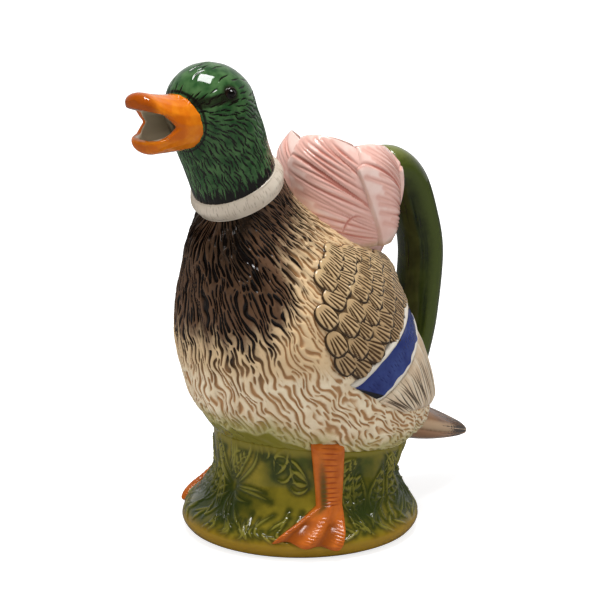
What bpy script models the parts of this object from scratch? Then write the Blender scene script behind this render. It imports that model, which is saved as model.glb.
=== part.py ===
"""Mallard jug: a hollow glazed earthenware duck that fills through a flower on its back and pours
from its bill. Metres, +Z up, origin under the middle of the mound. The duck faces -Y and its left
side is +X.

Almost every form is a loft through ovals that stand square to the plane X = 0. An oval is written
as (front y, front z, back y, back z, half width): two opposite points in that plane and its reach
to either side. A place on a form is a share of the way along it and an angle round it in degrees:
0 is the left side, 90 the back and -90 the front.
"""

import math

import bmesh
import bpy
import numpy as np
from mathutils import Vector

# Walls and joints. A relief starts this far under the surface that it is cut to fit.
WALL = 0.004
FLOOR = 0.005
SEAM = 0.0003
SUNK = 0.002

# Mound
MOUND_FOOT_RADIUS = 0.0545
MOUND_LIP_RADIUS = 0.061
MOUND_LIP_HEIGHT = 0.007
MOUND_FLARE_RADIUS = 0.0525
MOUND_FLARE_HEIGHT = 0.021
MOUND_STEM_RADIUS = 0.0475
MOUND_STEM_HEIGHT = 0.032
MOUND_STEM_SET_BACK = 0.004

# Turf: tufts of grass round the mound, parted by grooves that sway and fade towards its lip and its top
TURF_COUNT = 18
TURF_DEPTH = 0.0011
TURF_LEAST_SHARE = 0.35
TURF_SWAY = 5
TURF_SWAY_WAVES = 1.2
TURF_LENGTH_SHARE = 0.4
TURF_FOOT_SHARE = 0.38
TURF_FADE_SHARE = 0.1

# Body ovals from the waist, where it meets the mound, to the neck
WAIST = (-0.0455, 0.055, 0.060, 0.040, 0.046)
LOW_BELLY = (-0.0525, 0.063, 0.078, 0.050, 0.050)
BELLY = (-0.063, 0.078, 0.076, 0.072, 0.054)
BREAST = (-0.070, 0.105, 0.063, 0.100, 0.055)
SHOULDER = (-0.0725, 0.124, 0.053, 0.125, 0.048)
MANTLE = (-0.0725, 0.145, 0.044, 0.143, 0.037)
NECK_ROOT = (-0.0705, 0.158, -0.004, 0.171, 0.025)
NECK = (-0.0609, 0.1692, -0.0219, 0.1908, 0.0225)

# Plumage: locks of feathers parted by grooves that sway and fade on their way from waist to neck
PLUME_COUNT = 32
PLUME_DEPTH = 0.0013
PLUME_LEAST_SHARE = 0.35
PLUME_SWAY = 4
PLUME_SWAY_WAVES = 2.5
PLUME_LENGTH_SHARE = 0.22
PLUME_FADE_SHARE = 0.07

# White band round the neck
BAND_HEIGHT = 0.0085
BAND_PROUD = 0.0018

# Head, measured forward and up from the middle of the band's upper edge
NECK_TOP_RADIUS = 0.0216
THROAT_FORWARD = 0.0048
THROAT_RISE = 0.0113
THROAT_HALF_LENGTH = 0.0216
THROAT_HALF_WIDTH = 0.0216
FACE_FORWARD = 0.0149
FACE_RISE = 0.0348
FACE_HALF_LENGTH = 0.0237
FACE_HALF_WIDTH = 0.0217
CROWN_FORWARD = 0.0168
CROWN_RISE = 0.0589
THROAT_LEAN_SHARE = 0.8
JAW_LEAN_SHARE = 0.45
FACE_LEAN_SHARE = 0.1

# Bill, measured forward from the front of the face, and up or down from the bill's middle
BILL_BELOW_FACE = 0.0015
BILL_BITE = 0.012
BILL_HALF_WIDTH = 0.0138
BILL_HALF_HEIGHT = 0.0135
BILL_TIP_HALF_WIDTH = 0.0098
BILL_TIP_HALF_HEIGHT = 0.0052
UPPER_BILL_LENGTH = 0.0255
UPPER_BILL_TIP_RISE = 0.0118
LOWER_BILL_LENGTH = 0.0215
LOWER_BILL_TIP_DROP = 0.0078
MOUTH_CORNER = 0.0085
MOUTH_CHEEK = 0.0055
MOUTH_RISE = 0.0108
MOUTH_DROP = 0.0088
LIP = 0.0032

# Stations of a bill half from the face to its tip: share of the length, of the bend and of the thickness
BILL_CURVE = ((0, 0, 1), (0.3, 0.12, 1), (0.6, 0.5, 1), (0.82, 0.85, 1), (0.95, 1, 0.72), (1, 1, 0.2))

# Eye beads, placed on the head
EYE_RADIUS = 0.0032
EYE_SHARE = 0.575
EYE_ANGLE = -10

# Flower, measured up and down from its seat on the back
FLOWER_SEAT_SHARE = 0.765
FLOWER_HALF_LENGTH = 0.0305
FLOWER_HALF_WIDTH = 0.0280
FLOWER_FOOT_HALF_LENGTH = 0.017
FLOWER_FOOT_HALF_WIDTH = 0.0165
FLOWER_RISE = 0.0433
FLOWER_DEPTH = 0.034
FLOWER_TILT = 10
FILLING_HOLE_SHARE = 0.6

# Stations of the funnel: share of its depth below the seat or rise above it, and of its spread
FLOWER_CURVE = ((-1, 0), (-0.56, 0.19), (-0.24, 0.55), (0.12, 0.93), (0.55, 1.05), (1, 1))

# Petals round the funnel, from a share of its way up to its rim
PETAL_COUNT = 5
PETAL_OVERLAP = 18
PETAL_SLANT = 43
PETAL_THICKNESS = 0.002
PETAL_EDGE = 0.0009
PETAL_LAP = 0.0007
PETAL_LIFT_START = 0.7
PETAL_LIFT_FULL = 0.2
PETAL_FOOT_SHARE = 0.43
PETAL_ROUNDING_SHARE = 0.05

# Stem handle, between a place on the flower and a place on the rump
HANDLE_HALF_WIDTH = 0.013
HANDLE_HALF_DEPTH = 0.011
HANDLE_BULGE = 0.0238
HANDLE_TOP_SHARE = 0.87
HANDLE_FOOT_SHARE = 0.275

# Stations of the handle: share of the drop from flower to rump, and of the bulge behind that line
HANDLE_WAY_DOWN = ((-0.01, -0.45), (0, 0.31), (0.075, 0.70), (0.24, 0.93), (0.44, 1))
HANDLE_WAY_IN = ((0.72, 0.65), (0.895, 0.30), (1.08, -0.2))

# Wing tiers lie between lines across the body, each from a front place to a back place: (angle, share)
COVERTS_TOP = ((-2, 0.790), (58, 0.690))
COVERTS_FOOT = ((-17, 0.355), (60, 0.560))
SPECULUM_FOOT = ((-4, 0.295), (60, 0.475))
FLIGHT_FOOT = ((10, 0.228), (56, 0.205))
TIER_GAP_SHARE = 0.005
COVERTS_BULGE = 9
WING_THICKNESS = 0.0026
WING_EDGE = 0.0010

# Tail, measured from its root on the rump
TAIL_ROOT_SHARE = 0.143
TAIL_LENGTH = 0.045
TAIL_HALF_WIDTH = 0.023
TAIL_TIP_HALF_WIDTH = 0.006
TAIL_DEPTH = 0.022
TAIL_TIP_DEPTH = 0.005
TAIL_BELOW_RUMP = 0.009
TAIL_DROP = 0.015

# Legs, placed on the mound
LEFT_LEG_ANGLE = -31
RIGHT_LEG_ANGLE = -9
LEG_HALF_WIDTH = 0.0080
LEG_THICKNESS = 0.0046
ANKLE_SHARE = 0.74
ANKLE_HALF_WIDTH = 0.0066
FOOT_TURN = -12
FOOT_HALF_WIDTH = 0.0160
FOOT_THICKNESS = 0.0040
INNER_TOE_SHARE = 0.40
OUTER_TOE_SHARE = 0.27
TOE_NOTCH_SHARE = 0.06
TOE_COUNT = 3

# Fineness of the lofts
BODY_SPOKES = 32
BODY_RINGS = 16
PLUME_SPOKES = 2 * PLUME_COUNT
PLUME_RINGS = 30
TURF_SPOKES = 2 * TURF_COUNT
MOUND_RINGS = 18
HEAD_SPOKES = 24
HEAD_RINGS = 12
FLOWER_RINGS = 10
BILL_SPOKES = 18
BILL_RINGS = 12


class Form:
    """A smooth loft through ovals. The share runs from 0 at the first oval to 1 at the last."""

    def __init__(self, *ovals):
        self.ovals = np.array(ovals, float)

    def oval(self, share):
        last = len(self.ovals) - 1
        i = min(max(math.floor(share * last), 0), last - 1)
        step = share * last - i
        here, there = self.ovals[i], self.ovals[i + 1]
        before = self.ovals[i - 1] if i > 0 else 2 * here - there
        after = self.ovals[i + 2] if i + 2 <= last else 2 * there - here
        slope = (there - before) / 2
        next_slope = (after - here) / 2
        bend = 3 * (there - here) - 2 * slope - next_slope
        twist = 2 * (here - there) + slope + next_slope
        return here + step * (slope + step * (bend + step * twist))

    def point(self, share, degrees, grow=0.0):
        """A point on the form, or on the form grown by a distance in each oval's own plane."""
        front_y, front_z, back_y, back_z, half_width = self.oval(share)
        along = Vector((0, back_y - front_y, back_z - front_z))
        middle = Vector((0, front_y + back_y, front_z + back_z)) / 2
        angle = math.radians(degrees)
        sideways = Vector(((half_width + grow) * math.cos(angle), 0, 0))
        return middle + along.normalized() * (along.length / 2 + grow) * math.sin(angle) + sideways

    def rings(self, steps, spokes, start=0.0, end=1.0, grow=0.0):
        turns = [360 * k / spokes for k in range(spokes)]
        shares = [start + (end - start) * i / steps for i in range(steps + 1)]
        return [[self.point(share, degrees, grow) for degrees in turns] for share in shares]


def mix(a, b, share):
    return a + (b - a) * share


def middle_of(oval):
    return Vector((0, oval[0] + oval[2], oval[1] + oval[3])) / 2


def leaning_oval(middle, half_length, half_width, lean=0.0):
    """An oval whose back is raised by the lean, in degrees."""
    reach = Vector((0, math.cos(math.radians(lean)), math.sin(math.radians(lean)))) * half_length
    return (*(middle - reach).yz, *(middle + reach).yz, half_width)


def level_circle(y, z, radius):
    return leaning_oval(Vector((0, y, z)), radius, radius)


def moved(oval, by):
    return (oval[0] + by.y, oval[1] + by.z, oval[2] + by.y, oval[3] + by.z, oval[4])


def shrunk(oval, wall):
    """The oval drawn in by the wall all round, or let out where the wall is negative."""
    front, back = Vector((0, *oval[0:2])), Vector((0, *oval[2:4]))
    inward = (back - front).normalized() * wall
    return (*(front + inward).yz, *(back - inward).yz, oval[4] - wall)


def glaze(name, hex_colour, roughness=0.12):
    material = bpy.data.materials.new(name)
    material.use_nodes = True
    shader = material.node_tree.nodes["Principled BSDF"]
    parts = [int(hex_colour[i : i + 2], 16) / 255 for i in (0, 2, 4)]
    linear = [c / 12.92 if c <= 0.04045 else ((c + 0.055) / 1.055) ** 2.4 for c in parts]
    shader.inputs["Base Color"].default_value = (*linear, 1)
    shader.inputs["Roughness"].default_value = roughness
    shader.inputs["Metallic"].default_value = 0
    return material


def add_object(name, mesh, material=None):
    """A finished bmesh as an object: a part of the jug if it has a material, else a cutter."""
    bmesh.ops.recalc_face_normals(mesh, faces=mesh.faces)
    data = bpy.data.meshes.new(name)
    mesh.to_mesh(data)
    mesh.free()
    data.shade_smooth()
    data.set_sharp_from_angle(angle=math.radians(40))
    piece = bpy.data.objects.new(name, data)
    if material:
        data.materials.append(material)
        jug.objects.link(piece)
    else:
        piece.hide_render = True
        piece.display_type = "WIRE"
        cutters.objects.link(piece)
    return piece


def skin(rings, looped=False):
    """Quads from ring to ring. A looped row joins its last ring to its first, others are capped."""
    mesh = bmesh.new()
    rows = [[mesh.verts.new(point) for point in ring] for ring in rings]
    if not looped:
        mesh.faces.new(rows[0])
        mesh.faces.new(rows[-1])
    for i in range(0 if looped else 1, len(rows)):
        low, high = rows[i - 1], rows[i]
        for k in range(len(low)):
            mesh.faces.new((low[k - 1], low[k], high[k], high[k - 1]))
    return mesh


def tube(outside, inside):
    """A wall between two rows of rings, open at both ends."""
    return skin(outside + inside[::-1], looped=True)


def sheet(place, low, high, columns, rows):
    """A closed plate of place(u, v, height) over a grid, from the low height to the high one."""
    mesh = bmesh.new()
    rims = []
    for height in (low, high):
        grid = []
        for r in range(rows + 1):
            ways = [(c / columns, r / rows) for c in range(columns + 1)]
            grid.append([mesh.verts.new(place(u, v, height(u, v))) for u, v in ways])
        for r in range(rows):
            for c in range(columns):
                mesh.faces.new((grid[r][c], grid[r][c + 1], grid[r + 1][c + 1], grid[r + 1][c]))
        last_column = [row[-1] for row in grid[1:]]
        first_column = [row[0] for row in grid[-2:0:-1]]
        rims.append(grid[0] + last_column + grid[-1][-2::-1] + first_column)
    for k in range(len(rims[0])):
        mesh.faces.new((rims[0][k - 1], rims[0][k], rims[1][k], rims[1][k - 1]))
    return mesh


def sunk(u, v):
    return -SUNK


def dome(u, v, edge, full, rim=0.22):
    """Thickness of a relief that swells from its edge to its full height."""
    inset = min(u, 1 - u, v, 1 - v, rim) / rim
    return edge + (full - edge) * math.sin(inset * math.pi / 2)


def cut(piece, *tools):
    for tool in tools:
        modifier = piece.modifiers.new("cut by " + tool.name, "BOOLEAN")
        modifier.operation = "DIFFERENCE"
        modifier.object = tool


# A clean scene with one collection for the jug and one for its cutters
for old in list(bpy.data.objects):
    bpy.data.objects.remove(old)
jug = bpy.data.collections.new("mallard_jug")
cutters = bpy.data.collections.new("cutters")
for collection in (jug, cutters):
    bpy.context.scene.collection.children.link(collection)


# Mound: a cup with a flat floor. Its top edge follows the body's waist, one seam lower.
waist_up = Vector((0, WAIST[1] - WAIST[3], WAIST[2] - WAIST[0])).normalized()
mound_top = moved(WAIST, waist_up * -SEAM)
lip_share, brow_share = 0.3, 0.45
mound = Form(
    level_circle(0, 0, MOUND_FOOT_RADIUS),
    level_circle(0, MOUND_LIP_HEIGHT * lip_share, mix(MOUND_FOOT_RADIUS, MOUND_LIP_RADIUS, 2 * lip_share)),
    level_circle(0, MOUND_LIP_HEIGHT, MOUND_LIP_RADIUS),
    level_circle(
        0,
        mix(MOUND_LIP_HEIGHT, MOUND_FLARE_HEIGHT, brow_share),
        mix(MOUND_LIP_RADIUS, MOUND_FLARE_RADIUS, brow_share**1.4),
    ),
    level_circle(MOUND_STEM_SET_BACK / 2, MOUND_FLARE_HEIGHT, MOUND_FLARE_RADIUS),
    level_circle(MOUND_STEM_SET_BACK, MOUND_STEM_HEIGHT, MOUND_STEM_RADIUS),
    mound_top,
)
well_radius = MOUND_STEM_RADIUS - WALL
well = Form(
    level_circle(0, FLOOR, well_radius),
    level_circle(MOUND_STEM_SET_BACK / 2, MOUND_FLARE_HEIGHT, well_radius),
    level_circle(MOUND_STEM_SET_BACK, MOUND_STEM_HEIGHT, well_radius),
    shrunk(mound_top, WALL),
)


def turf_point(share, spoke):
    """A point on the mound: on a tuft at an even spoke, and down in a groove at an odd one."""
    turn = spoke / TURF_SPOKES
    fade = max(min((share - TURF_FOOT_SHARE) / TURF_FADE_SHARE, (1 - share) / TURF_FADE_SHARE, 1), 0)
    sway = TURF_SWAY * math.sin(2 * math.pi * (TURF_SWAY_WAVES * share + 5 * turn))
    pulse = 0.5 - 0.5 * math.cos(2 * math.pi * share / TURF_LENGTH_SHARE + math.pi * (spoke // 2))
    depth = TURF_DEPTH * fade * mix(TURF_LEAST_SHARE, 1, pulse) if spoke % 2 else 0
    return mound.point(share, 360 * turn + sway * fade, -depth)


mound_shares = [i / MOUND_RINGS for i in range(MOUND_RINGS + 1)]
turf = [[turf_point(share, spoke) for spoke in range(TURF_SPOKES)] for share in mound_shares]
add_object("plinth", skin(turf + well.rings(4, TURF_SPOKES)[::-1]), glaze("olive_glaze", "6f7a24"))
mound_tool = add_object("mound_tool", skin(mound.rings(MOUND_RINGS, TURF_SPOKES, grow=SEAM)))


# Flower form: a funnel that starts inside the body. Its wall opens the body below.
body = Form(WAIST, LOW_BELLY, BELLY, BREAST, SHOULDER, MANTLE, NECK_ROOT, NECK)
seat = body.point(FLOWER_SEAT_SHARE, 90)


def flower_form(wall=0.0):
    """The funnel's outside, or its inside one wall further in."""
    ovals = []
    for height, swell in FLOWER_CURVE:
        rise = height * (FLOWER_RISE if height > 0 else FLOWER_DEPTH)
        half_length = mix(FLOWER_FOOT_HALF_LENGTH, FLOWER_HALF_LENGTH, swell)
        half_width = mix(FLOWER_FOOT_HALF_WIDTH, FLOWER_HALF_WIDTH, swell)
        tilt = -FLOWER_TILT * max(height, 0)
        oval = leaning_oval(seat + Vector((0, 0, rise)), half_length, half_width, tilt)
        ovals.append(shrunk(oval, wall))
    return Form(*ovals)


flower = flower_form()
flower_inside = flower_form(WALL)


def plume_point(share, spoke):
    """A point on the plumage: on a lock at an even spoke, and down in a groove at an odd one."""
    turn = spoke / PLUME_SPOKES
    sway = PLUME_SWAY * math.sin(2 * math.pi * (PLUME_SWAY_WAVES * share + 3 * turn))
    fade = min(share / PLUME_FADE_SHARE, (1 - share) / PLUME_FADE_SHARE, 1)
    pulse = 0.5 - 0.5 * math.cos(2 * math.pi * share / PLUME_LENGTH_SHARE + math.pi * (spoke // 2))
    depth = PLUME_DEPTH * fade * mix(PLUME_LEAST_SHARE, 1, pulse) if spoke % 2 else 0
    return body.point(share, 360 * turn + sway * fade, -depth)


# Body: one shell from the waist to the neck, with the filling hole under the flower
body_inside = Form(*(shrunk(oval, WALL) for oval in body.ovals))
plume_shares = [i / PLUME_RINGS for i in range(PLUME_RINGS + 1)]
plumage = [[plume_point(share, spoke) for spoke in range(PLUME_SPOKES)] for share in plume_shares]
body_wall = tube(plumage, body_inside.rings(BODY_RINGS, PLUME_SPOKES))
body_shell = add_object("body_shell", body_wall, glaze("feather_glaze", "b79a78"))
filling_hole = add_object("filling_hole", skin(flower_inside.rings(6, HEAD_SPOKES, end=FILLING_HOLE_SHARE)))
cut(body_shell, filling_hole)
below_waist = body.rings(1, PLUME_SPOKES, start=-0.03, end=0, grow=SEAM)[:1]
body_tool = add_object("body_tool", skin(below_waist + body.rings(PLUME_RINGS, PLUME_SPOKES, grow=SEAM)))


# White band: a ring that swells a little between body and head
lean = math.degrees(math.atan2(NECK[3] - NECK[1], NECK[2] - NECK[0]))
neck_up = Vector((0, -math.sin(math.radians(lean)), math.cos(math.radians(lean))))
band_foot = moved(NECK, neck_up * SEAM)
band_ovals = []
for share in (0, 0.2, 0.5, 0.8, 1):
    swell = BAND_PROUD * (0.15 + 0.85 * math.sin(math.pi * share))
    band_ovals.append(moved(shrunk(band_foot, -swell), neck_up * BAND_HEIGHT * share))
band_bore = shrunk(band_foot, WALL)
band_inside = Form(band_bore, moved(band_bore, neck_up * BAND_HEIGHT))
band_wall = tube(Form(*band_ovals).rings(4, BODY_SPOKES), band_inside.rings(1, BODY_SPOKES))
add_object("neck_ring", band_wall, glaze("white_glaze", "ece5da"))


# Head: a shell closed at the crown by a dome, open to the neck and to the bill
head_foot = middle_of(band_foot) + neck_up * (BAND_HEIGHT + SEAM)
FACE_OVAL = 3
DOME_DEGREES = (27, 48, 67, 85)


def head_form(wall=0.0):
    """The head's outside, or its inside one wall further in."""
    throat = head_foot + Vector((0, -THROAT_FORWARD, THROAT_RISE))
    face = head_foot + Vector((0, -FACE_FORWARD, FACE_RISE))
    crown = head_foot + Vector((0, -CROWN_FORWARD, CROWN_RISE - wall))
    jaw_half_length = mix(THROAT_HALF_LENGTH, FACE_HALF_LENGTH, 0.6)
    jaw_half_width = mix(THROAT_HALF_WIDTH, FACE_HALF_WIDTH, 0.6)
    ovals = [
        leaning_oval(head_foot, NECK_TOP_RADIUS, NECK_TOP_RADIUS, lean),
        leaning_oval(throat, THROAT_HALF_LENGTH, THROAT_HALF_WIDTH, lean * THROAT_LEAN_SHARE),
        leaning_oval(throat.lerp(face, 0.5), jaw_half_length, jaw_half_width, lean * JAW_LEAN_SHARE),
        leaning_oval(face, FACE_HALF_LENGTH, FACE_HALF_WIDTH, lean * FACE_LEAN_SHARE),
    ]
    ovals = [shrunk(oval, wall) for oval in ovals]
    for degrees in DOME_DEGREES:
        rise, reach = math.sin(math.radians(degrees)), math.cos(math.radians(degrees))
        half_length = (FACE_HALF_LENGTH - wall) * reach
        half_width = (FACE_HALF_WIDTH - wall) * reach
        ovals.append(leaning_oval(face.lerp(crown, rise), half_length, half_width))
    return Form(*ovals)


head = head_form()
head_wall = head_form(WALL).rings(HEAD_RINGS, HEAD_SPOKES)[::-1] + head.rings(HEAD_RINGS, HEAD_SPOKES)
head_shell = add_object("head_shell", skin(head_wall), glaze("green_glaze", "1f4a2c"))
head_tool = add_object("head_tool", skin(head.rings(HEAD_RINGS, HEAD_SPOKES, grow=SEAM)))

# Bill: two halves that meet behind the corner of the mouth, hollowed by the pouring channel
bill_middle = head.point(FACE_OVAL / (FACE_OVAL + len(DOME_DEGREES)), -90) - Vector((0, 0, BILL_BELOW_FACE))


def bill_oval(forward, low, high, half_width):
    y = bill_middle.y - forward
    return (y, bill_middle.z + high, y, bill_middle.z + low, half_width)


def bill_form(length, tip_middle):
    """One half of the bill as a whole loft, from inside the head to its rounded tip."""
    ovals = [bill_oval(-BILL_BITE, -BILL_HALF_HEIGHT, BILL_HALF_HEIGHT, BILL_HALF_WIDTH)]
    for forward, bend, size in BILL_CURVE:
        middle = tip_middle * bend
        half_height = mix(BILL_HALF_HEIGHT, BILL_TIP_HALF_HEIGHT, bend) * size
        half_width = mix(BILL_HALF_WIDTH, BILL_TIP_HALF_WIDTH, bend) * size
        ovals.append(bill_oval(length * forward, middle - half_height, middle + half_height, half_width))
    return Form(*ovals)


def mouth_tool(name, side, reach):
    """A prism over all that lies above the mouth's lower edge, side 1, or below its upper edge, side -1."""
    back = bill_middle.y + BILL_BITE + WALL
    corner = bill_middle.y - MOUTH_CORNER
    front = bill_middle.y - max(UPPER_BILL_LENGTH, LOWER_BILL_LENGTH) - WALL
    level = bill_middle.z - side * SEAM / 2
    far = bill_middle.z + side * 2 * (BILL_HALF_HEIGHT + reach)
    cheek = (corner - MOUTH_CHEEK, level - side * reach * 0.55)
    ends = ((back, level), (corner, level), cheek, (front, level - side * reach), (front, far), (back, far))
    rings = [[Vector((x, y, z)) for y, z in ends] for x in (-2 * BILL_HALF_WIDTH, 2 * BILL_HALF_WIDTH)]
    return add_object(name, skin(rings))


channel_half_width = BILL_HALF_WIDTH - LIP
channel_half_height = BILL_HALF_HEIGHT - LIP
bore_half_width = channel_half_width * 0.9
bore_half_height = channel_half_height * 0.8
gape_top = UPPER_BILL_TIP_RISE + LIP / 2
channel = Form(
    bill_oval(-BILL_BITE - 2 * WALL, -bore_half_height, bore_half_height, bore_half_width),
    bill_oval(-BILL_BITE / 2, -bore_half_height, bore_half_height, bore_half_width),
    bill_oval(MOUTH_CORNER, -channel_half_height, channel_half_height, channel_half_width),
    bill_oval(LOWER_BILL_LENGTH * 0.62, -channel_half_height, channel_half_height, bore_half_width),
    bill_oval(LOWER_BILL_LENGTH * 0.9, -MOUTH_DROP, gape_top, BILL_TIP_HALF_WIDTH - LIP),
)
channel_tool = add_object("channel_tool", skin(channel.rings(8, BILL_SPOKES)))
cut(head_shell, channel_tool)
bill_glaze = glaze("orange_glaze", "d8741c")
for name, length, tip_middle, side, reach in (
    ("upper_bill", UPPER_BILL_LENGTH, UPPER_BILL_TIP_RISE, -1, MOUTH_RISE),
    ("lower_bill", LOWER_BILL_LENGTH, -LOWER_BILL_TIP_DROP, 1, MOUTH_DROP),
):
    half = add_object(name, skin(bill_form(length, tip_middle).rings(BILL_RINGS, BILL_SPOKES)), bill_glaze)
    cut(half, head_tool, mouth_tool(name + "_mouth", side, reach), channel_tool)

# Eyes: beads half sunk in the head
eye_glaze = glaze("eye_glaze", "0c0a08", 0.05)
for name, angle in (("left_eye", EYE_ANGLE), ("right_eye", 180 - EYE_ANGLE)):
    bead = bmesh.new()
    bmesh.ops.create_uvsphere(bead, u_segments=12, v_segments=7, radius=EYE_RADIUS)
    bmesh.ops.translate(bead, verts=bead.verts, vec=head.point(EYE_SHARE, angle))
    cut(add_object(name, bead, eye_glaze), head_tool)


# Flower funnel: a wall over the filling hole, its foot cut to the back
funnel_wall = tube(flower.rings(FLOWER_RINGS, HEAD_SPOKES), flower_inside.rings(FLOWER_RINGS, HEAD_SPOKES))
flower_funnel = add_object("flower_funnel", funnel_wall, glaze("pink_glaze", "e6b3a8"))
cut(flower_funnel, body_tool)
flower_tool = add_object("flower_tool", skin(flower.rings(FLOWER_RINGS, HEAD_SPOKES, grow=SEAM)))

# Petals: sprigged round the funnel, one of them square to the handle where it leaves the flower
petal_pitch = 360 / PETAL_COUNT
petal_spread = petal_pitch + PETAL_OVERLAP


def petal_sheet(centre, grow=0.0):
    """A slanting petal whose early edge lies over the petal before, or a grown copy without that gap."""
    lap = PETAL_OVERLAP / petal_spread + 0.05
    spread = petal_spread * (1.04 if grow else 1)

    def place(u, v, height):
        share = mix(PETAL_FOOT_SHARE, 1 - PETAL_ROUNDING_SHARE * (2 * u - 1) ** 2, v)
        slant = PETAL_SLANT * (HANDLE_TOP_SHARE - share) / (1 - PETAL_FOOT_SHARE)
        return flower.point(share, centre + slant + (u - 0.5) * spread, height)

    def low(u, v):
        return PETAL_THICKNESS + PETAL_LAP if u < lap and not grow else -SUNK

    def high(u, v):
        rise = min(max((PETAL_LIFT_START - u) / (PETAL_LIFT_START - PETAL_LIFT_FULL), 0), 1)
        lift = (PETAL_THICKNESS + PETAL_LAP) * rise * rise * (3 - 2 * rise)
        return lift + dome(u, v, PETAL_EDGE, PETAL_THICKNESS) + grow

    return sheet(place, low, high, 10, 6)


petal_glaze = glaze("petal_glaze", "eab9ae")
for k in range(PETAL_COUNT):
    petal = add_object(f"petal_{k + 1}", petal_sheet(90 + petal_pitch * k), petal_glaze)
    cut(petal, flower_tool, body_tool)
petal_tools = []
for name, centre in (("early_petal", 90 - petal_pitch), ("back_petal", 90), ("late_petal", 90 + petal_pitch)):
    petal_tools.append(add_object(name + "_tool", petal_sheet(centre, SEAM)))

# Handle: an oval stem that leaves the flower level, bends down and runs into the rump.
stem_top = flower.point(HANDLE_TOP_SHARE, 90)
stem_foot = body.point(HANDLE_FOOT_SHARE, 90)
stem_way = HANDLE_WAY_DOWN + HANDLE_WAY_IN
stem_line = [stem_top.lerp(stem_foot, drop) + Vector((0, HANDLE_BULGE * out, 0)) for drop, out in stem_way]
stem_ovals = []
for i, middle in enumerate(stem_line):
    ahead = (stem_line[min(i + 1, len(stem_line) - 1)] - stem_line[max(i - 1, 0)]).normalized()
    outward = Vector((0, -ahead.z, ahead.y)) * HANDLE_HALF_DEPTH
    stem_ovals.append((*(middle - outward).yz, *(middle + outward).yz, HANDLE_HALF_WIDTH))
handle = add_object("handle", skin(Form(*stem_ovals).rings(20, 14)), glaze("stem_glaze", "2c3a1a"))
cut(handle, body_tool, flower_tool, *petal_tools)


def wing_sheet(side, top_line, foot_line, bulge):
    """Relief on the body between two lines, its front edge bulging by an angle."""
    lines = np.array(top_line), np.array(foot_line)

    def place(u, v, height):
        front, back = mix(lines[0], lines[1], v)
        degrees, share = mix(front, back, u)
        degrees -= bulge * math.sin(math.pi * v) * (1 - u)
        point = body.point(share, degrees, height)
        return Vector((side * point.x, point.y, point.z))

    return sheet(place, sunk, lambda u, v: dome(u, v, WING_EDGE, WING_THICKNESS), 8, 6)


def lowered(line):
    return tuple((degrees, share - TIER_GAP_SHARE) for degrees, share in line)


# Wings: three tiers of feathers on each side
tiers = (
    ("wing_coverts", COVERTS_TOP, COVERTS_FOOT, COVERTS_BULGE, glaze("covert_glaze", "8d7355")),
    ("speculum", lowered(COVERTS_FOOT), SPECULUM_FOOT, 0, glaze("blue_glaze", "2f4189")),
    ("flight_feathers", lowered(SPECULUM_FOOT), FLIGHT_FOOT, 0, glaze("flight_glaze", "7b6a58")),
)
for side_name, side in (("left", 1), ("right", -1)):
    for tier, top_line, foot_line, bulge, material in tiers:
        wing = add_object(f"{side_name}_{tier}", wing_sheet(side, top_line, foot_line, bulge), material)
        cut(wing, body_tool)

# Tail: a flat wedge that grows out of the rump and droops
rump = body.point(TAIL_ROOT_SHARE, 90)
tail_ovals = []
for share, size in ((-0.45, 1.05), (0.1, 0.95), (0.55, 0.62), (0.88, 0.26), (1.0, 0.0)):
    middle = rump + Vector((0, TAIL_LENGTH * share, -TAIL_BELOW_RUMP - TAIL_DROP * share))
    half_depth = Vector((0, 0, mix(TAIL_TIP_DEPTH, TAIL_DEPTH, size) / 2))
    half_width = mix(TAIL_TIP_HALF_WIDTH, TAIL_HALF_WIDTH, size)
    tail_ovals.append((*(middle + half_depth).yz, *(middle - half_depth).yz, half_width))
tail = add_object("tail", skin(Form(*tail_ovals).rings(8, 16)), glaze("tail_glaze", "8a7663"))
cut(tail, body_tool, mound_tool)


def leg_sheet(side, leg_angle):
    """A shank that runs down the mound from under the belly and spreads into a webbed foot."""
    above_mound = 1.06
    ankle = 0.45

    def place(u, v, height):
        down = min(v / ankle, 1)
        spread = max((v - ankle) / (1 - ankle), 0)
        shank_half_width = mix(LEG_HALF_WIDTH, ANKLE_HALF_WIDTH, down)
        half_width = mix(shank_half_width, FOOT_HALF_WIDTH, math.sin(spread * math.pi / 2))
        notch = TOE_NOTCH_SHARE * math.sin(math.pi * u * (TOE_COUNT - 1)) ** 2
        toe_height = mix(INNER_TOE_SHARE, OUTER_TOE_SHARE, u) + notch
        share = mix(mix(above_mound, ANKLE_SHARE, down), toe_height, spread)
        radius = mound.oval(min(share, 1.0))[4]
        degrees = leg_angle + FOOT_TURN * spread + math.degrees((2 * u - 1) * half_width / radius)
        point = mound.point(share, degrees, height)
        return Vector((side * point.x, point.y, point.z))

    def high(u, v):
        shank = LEG_THICKNESS * math.sqrt(max(1 - (2 * u - 1) ** 2, 0))
        ridge = 0.7 + 0.3 * math.cos(math.pi * u * (TOE_COUNT - 1)) ** 2
        foot = FOOT_THICKNESS * ridge * math.sqrt(max(1 - v**8, 0))
        return mix(shank, foot, min(max((v - 0.4) / 0.3, 0), 1)) + WING_EDGE

    return sheet(place, sunk, high, 8, 12)


# Legs: relief on the mound, tucked under the belly
leg_glaze = glaze("leg_glaze", "cf7a30")
for name, side, leg_angle in (("left_leg", 1, LEFT_LEG_ANGLE), ("right_leg", -1, RIGHT_LEG_ANGLE)):
    cut(add_object(name, leg_sheet(side, leg_angle), leg_glaze), mound_tool, body_tool)
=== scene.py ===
import math

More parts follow.
